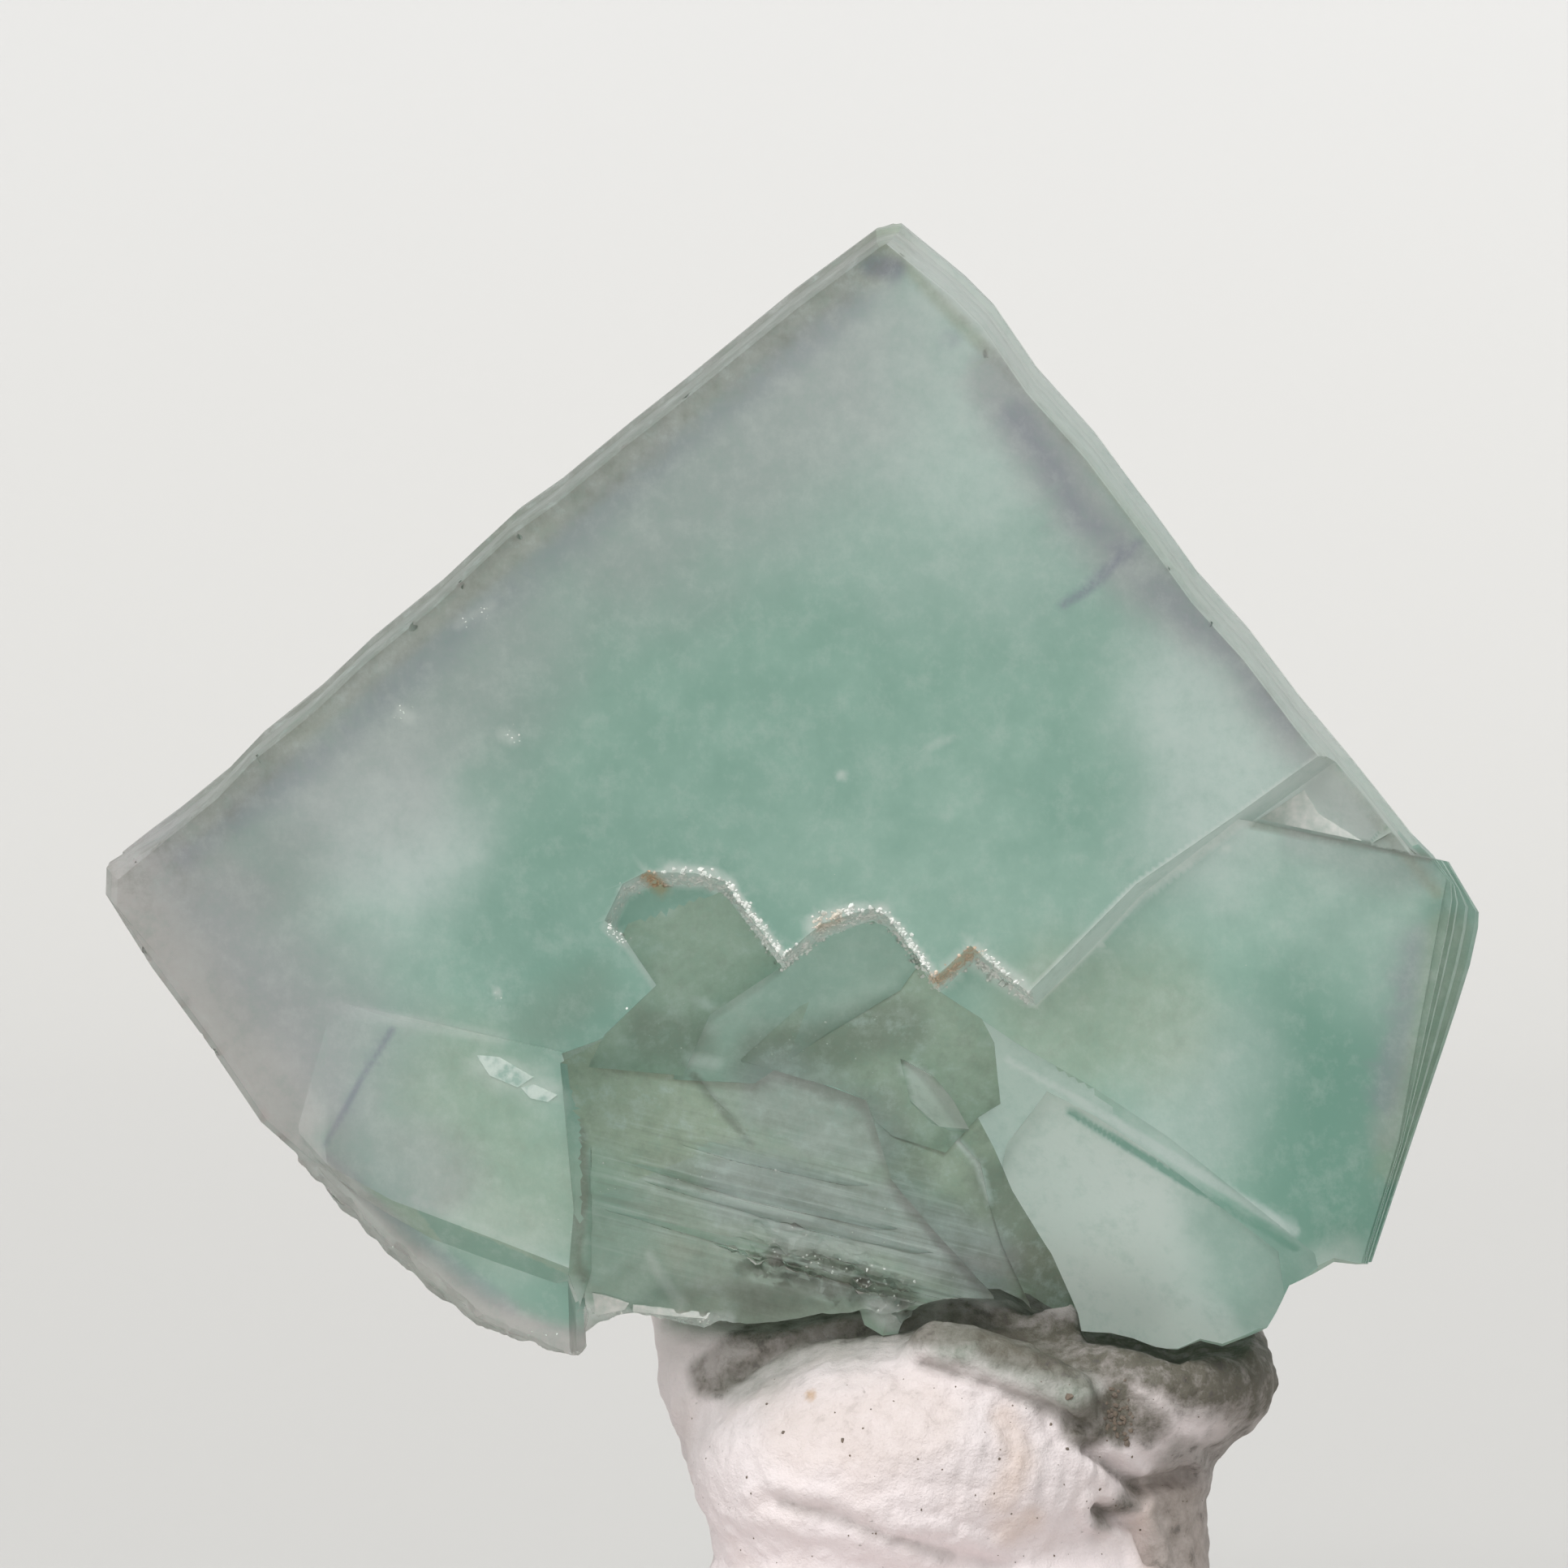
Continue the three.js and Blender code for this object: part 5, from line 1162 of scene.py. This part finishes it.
class FLUORITE_OT_grit(bpy.types.Operator):
    """Press dark grit into the putty"""

    bl_idname = "fluorite.grit"
    bl_label = "Grit"

    def execute(self, context):
        settings = context.scene.fluorite_putty
        roll = np.random.RandomState(context.scene.fluorite_grains.seed)
        find = seen_on(bpy.data.objects["putty_lump"])
        scattered = [
            [roll.uniform(-5, 8), roll.uniform(5, 9.8), roll.uniform(0.015, 0.04)]
            for _ in range(SCATTERED_GRAINS)
        ]
        in_pit = [
            [*(PIT + PIT_SIZE * roll.normal(size=2)), roll.uniform(0.04, 0.11)]
            for _ in range(PIT_GRAINS)
        ]
        spots = []
        for x, z, size in GRIT_SPOTS + scattered + in_pit:
            found = find(x, z)
            if found:
                spots.append((found[0], found[1], size))
        place("putty_grit", lump_mesh("grit", spots, roll), grit_material(settings), "putty")
        return {"FINISHED"}


# ---------------------------------------------------------------- the stage
# The backdrop is turned on a lathe: floor, bend and wall, in metres.
FLOOR_RADIUS = 0.5
BEND_RADIUS = 0.45
WALL_TOP = 0.5
AROUND = 96  # points in each ring
WALL_TONE_HEIGHT = 260.0  # where the floor's tone has turned into the wall's, in millimetres
KEY_DIRECTION = (0.45, 0.75, -0.9)
KEY_WIDTH = 50  # degrees across, as a big soft box is from the object
SENSOR = 36  # the camera's width, in millimetres


class FLUORITE_OT_stage(bpy.types.Operator):
    """Set the stage: a pale floor that turns up into a round backdrop, soft lights and the camera"""

    bl_idname = "fluorite.stage"
    bl_label = "Stage"

    def execute(self, context):
        scene = context.scene
        settings = scene.fluorite_stage
        # Matt card: uncoated and evenly rolled, it gives a quiet ground with hardly any grain.
        material, tree, where = new_material("matt_card_rolled")
        # blotches a quarter of a metre across
        cloud = add_node(tree, "ShaderNodeTexNoise", {"Vector": where, "Scale": 0.004, "Detail": 2.0})
        height = add_node(tree, "ShaderNodeSeparateXYZ", {0: where}, "Z")
        rise = {"Value": height, "From Max": WALL_TONE_HEIGHT}
        rise = add_node(tree, "ShaderNodeMapRange", rise, interpolation_type="SMOOTHSTEP")
        card = add_node(
            tree, "ShaderNodeMix", {0: rise, 6: settings.floor, 7: settings.wall}, 2, data_type="RGBA"
        )
        faint = {"Value": cloud, "From Min": 0.3, "From Max": 0.7, "To Max": 0.3}
        faint = add_node(tree, "ShaderNodeMapRange", faint)
        card = add_node(tree, "ShaderNodeMix", {0: faint, 6: card, 7: settings.cloud}, 2, data_type="RGBA")
        shader = add_node(tree, "ShaderNodeBsdfPrincipled", {"Base Color": card, "Roughness": 0.9})
        add_node(tree, "ShaderNodeOutputMaterial", {"Surface": shader})
        bends = [
            (FLOOR_RADIUS + BEND_RADIUS * math.sin(a), BEND_RADIUS - BEND_RADIUS * math.cos(a))
            for a in np.linspace(0, math.pi / 2, 30)
        ]
        profile = [(0.05, 0), (0.15, 0), (0.3, 0), *bends, (FLOOR_RADIUS + BEND_RADIUS, WALL_TOP)]
        turns = [2 * math.pi * i / AROUND for i in range(AROUND)]
        verts = [(0.0, 0.0, 0.0)]
        verts += [(r * math.cos(turn), r * math.sin(turn), z) for r, z in profile for turn in turns]
        pairs = [(i, (i + 1) % AROUND) for i in range(AROUND)]
        faces = [(0, 1 + i, 1 + j) for i, j in pairs]
        for ring in range(len(profile) - 1):
            a, b = 1 + ring * AROUND, 1 + (ring + 1) * AROUND
            faces += [(a + i, b + i, b + j, a + j) for i, j in pairs]
        mesh = bpy.data.meshes.new("backdrop")
        mesh.from_pydata(verts, [], faces)
        mesh.shade_smooth()
        mesh.materials.append(material)
        floor = bpy.data.objects.new("backdrop", mesh)
        scene.collection.objects.link(floor)

        scene.world = bpy.data.worlds.new("soft_sky")
        scene.world.use_nodes = True
        sky = scene.world.node_tree.nodes["Background"]
        sky.inputs["Color"].default_value = (1, 1, 1, 1)
        sky.inputs["Strength"].default_value = settings.sky
        lamp = bpy.data.lights.new("key", "SUN")
        lamp.energy = settings.sun
        lamp.angle = math.radians(KEY_WIDTH)
        light = bpy.data.objects.new("key", lamp)
        light.rotation_euler = Vector(KEY_DIRECTION).to_track_quat("-Z", "Y").to_euler()
        scene.collection.objects.link(light)

        camera = bpy.data.cameras.new("camera")
        camera.sensor_width = SENSOR
        camera.lens = SENSOR * (FACE_Y - EYE[1]) / VIEW_WIDTH
        camera.clip_start, camera.clip_end = 0.01, 10
        viewer = bpy.data.objects.new("camera", camera)
        viewer.location = Vector(EYE) * MM
        viewer.rotation_euler = Euler((math.pi / 2, 0, 0))
        scene.collection.objects.link(viewer)
        scene.camera = viewer
        scene.view_settings.view_transform = "Standard"
        scene.cycles.use_denoising = True
        scene.cycles.max_bounces = 9
        scene.cycles.transmission_bounces = 9
        scene.cycles.diffuse_bounces = 3
        scene.cycles.glossy_bounces = 3
        scene.cycles.adaptive_threshold = 0.08
        return {"FINISHED"}


class FLUORITE_PT_panel(bpy.types.Panel):
    """Lists the pieces of the fluorite cluster"""

    bl_idname = "FLUORITE_PT_panel"
    bl_label = "Fluorite cluster"
    bl_space_type = "VIEW_3D"
    bl_region_type = "UI"
    bl_category = "Fluorite"

    def draw(self, context):
        for operator in OPERATORS:
            self.layout.operator(operator.bl_idname)
        for name, group in SETTINGS.items():
            for value in group.__annotations__:
                self.layout.prop(getattr(context.scene, name), value)


OPERATORS = (
    FLUORITE_OT_crystal,
    FLUORITE_OT_grains,
    FLUORITE_OT_putty,
    FLUORITE_OT_grit,
    FLUORITE_OT_stage,
)
SETTINGS = {
    "fluorite_crystal": FluoriteCrystalSettings,
    "fluorite_grains": FluoriteGrainSettings,
    "fluorite_putty": FluoritePuttySettings,
    "fluorite_stage": FluoriteStageSettings,
}
CLASSES = (*SETTINGS.values(), *OPERATORS, FLUORITE_PT_panel)


def register():
    for cls in CLASSES:
        bpy.utils.register_class(cls)
    for name, group in SETTINGS.items():
        setattr(bpy.types.Scene, name, PointerProperty(type=group))


def unregister():
    for name in SETTINGS:
        delattr(bpy.types.Scene, name)
    for cls in reversed(CLASSES):
        bpy.utils.unregister_class(cls)


def main():
    register()
    bpy.ops.fluorite.crystal()
    bpy.ops.fluorite.grains()
    bpy.ops.fluorite.putty()
    bpy.ops.fluorite.grit()
    bpy.ops.fluorite.stage()


if __name__ == "__main__":
    main()
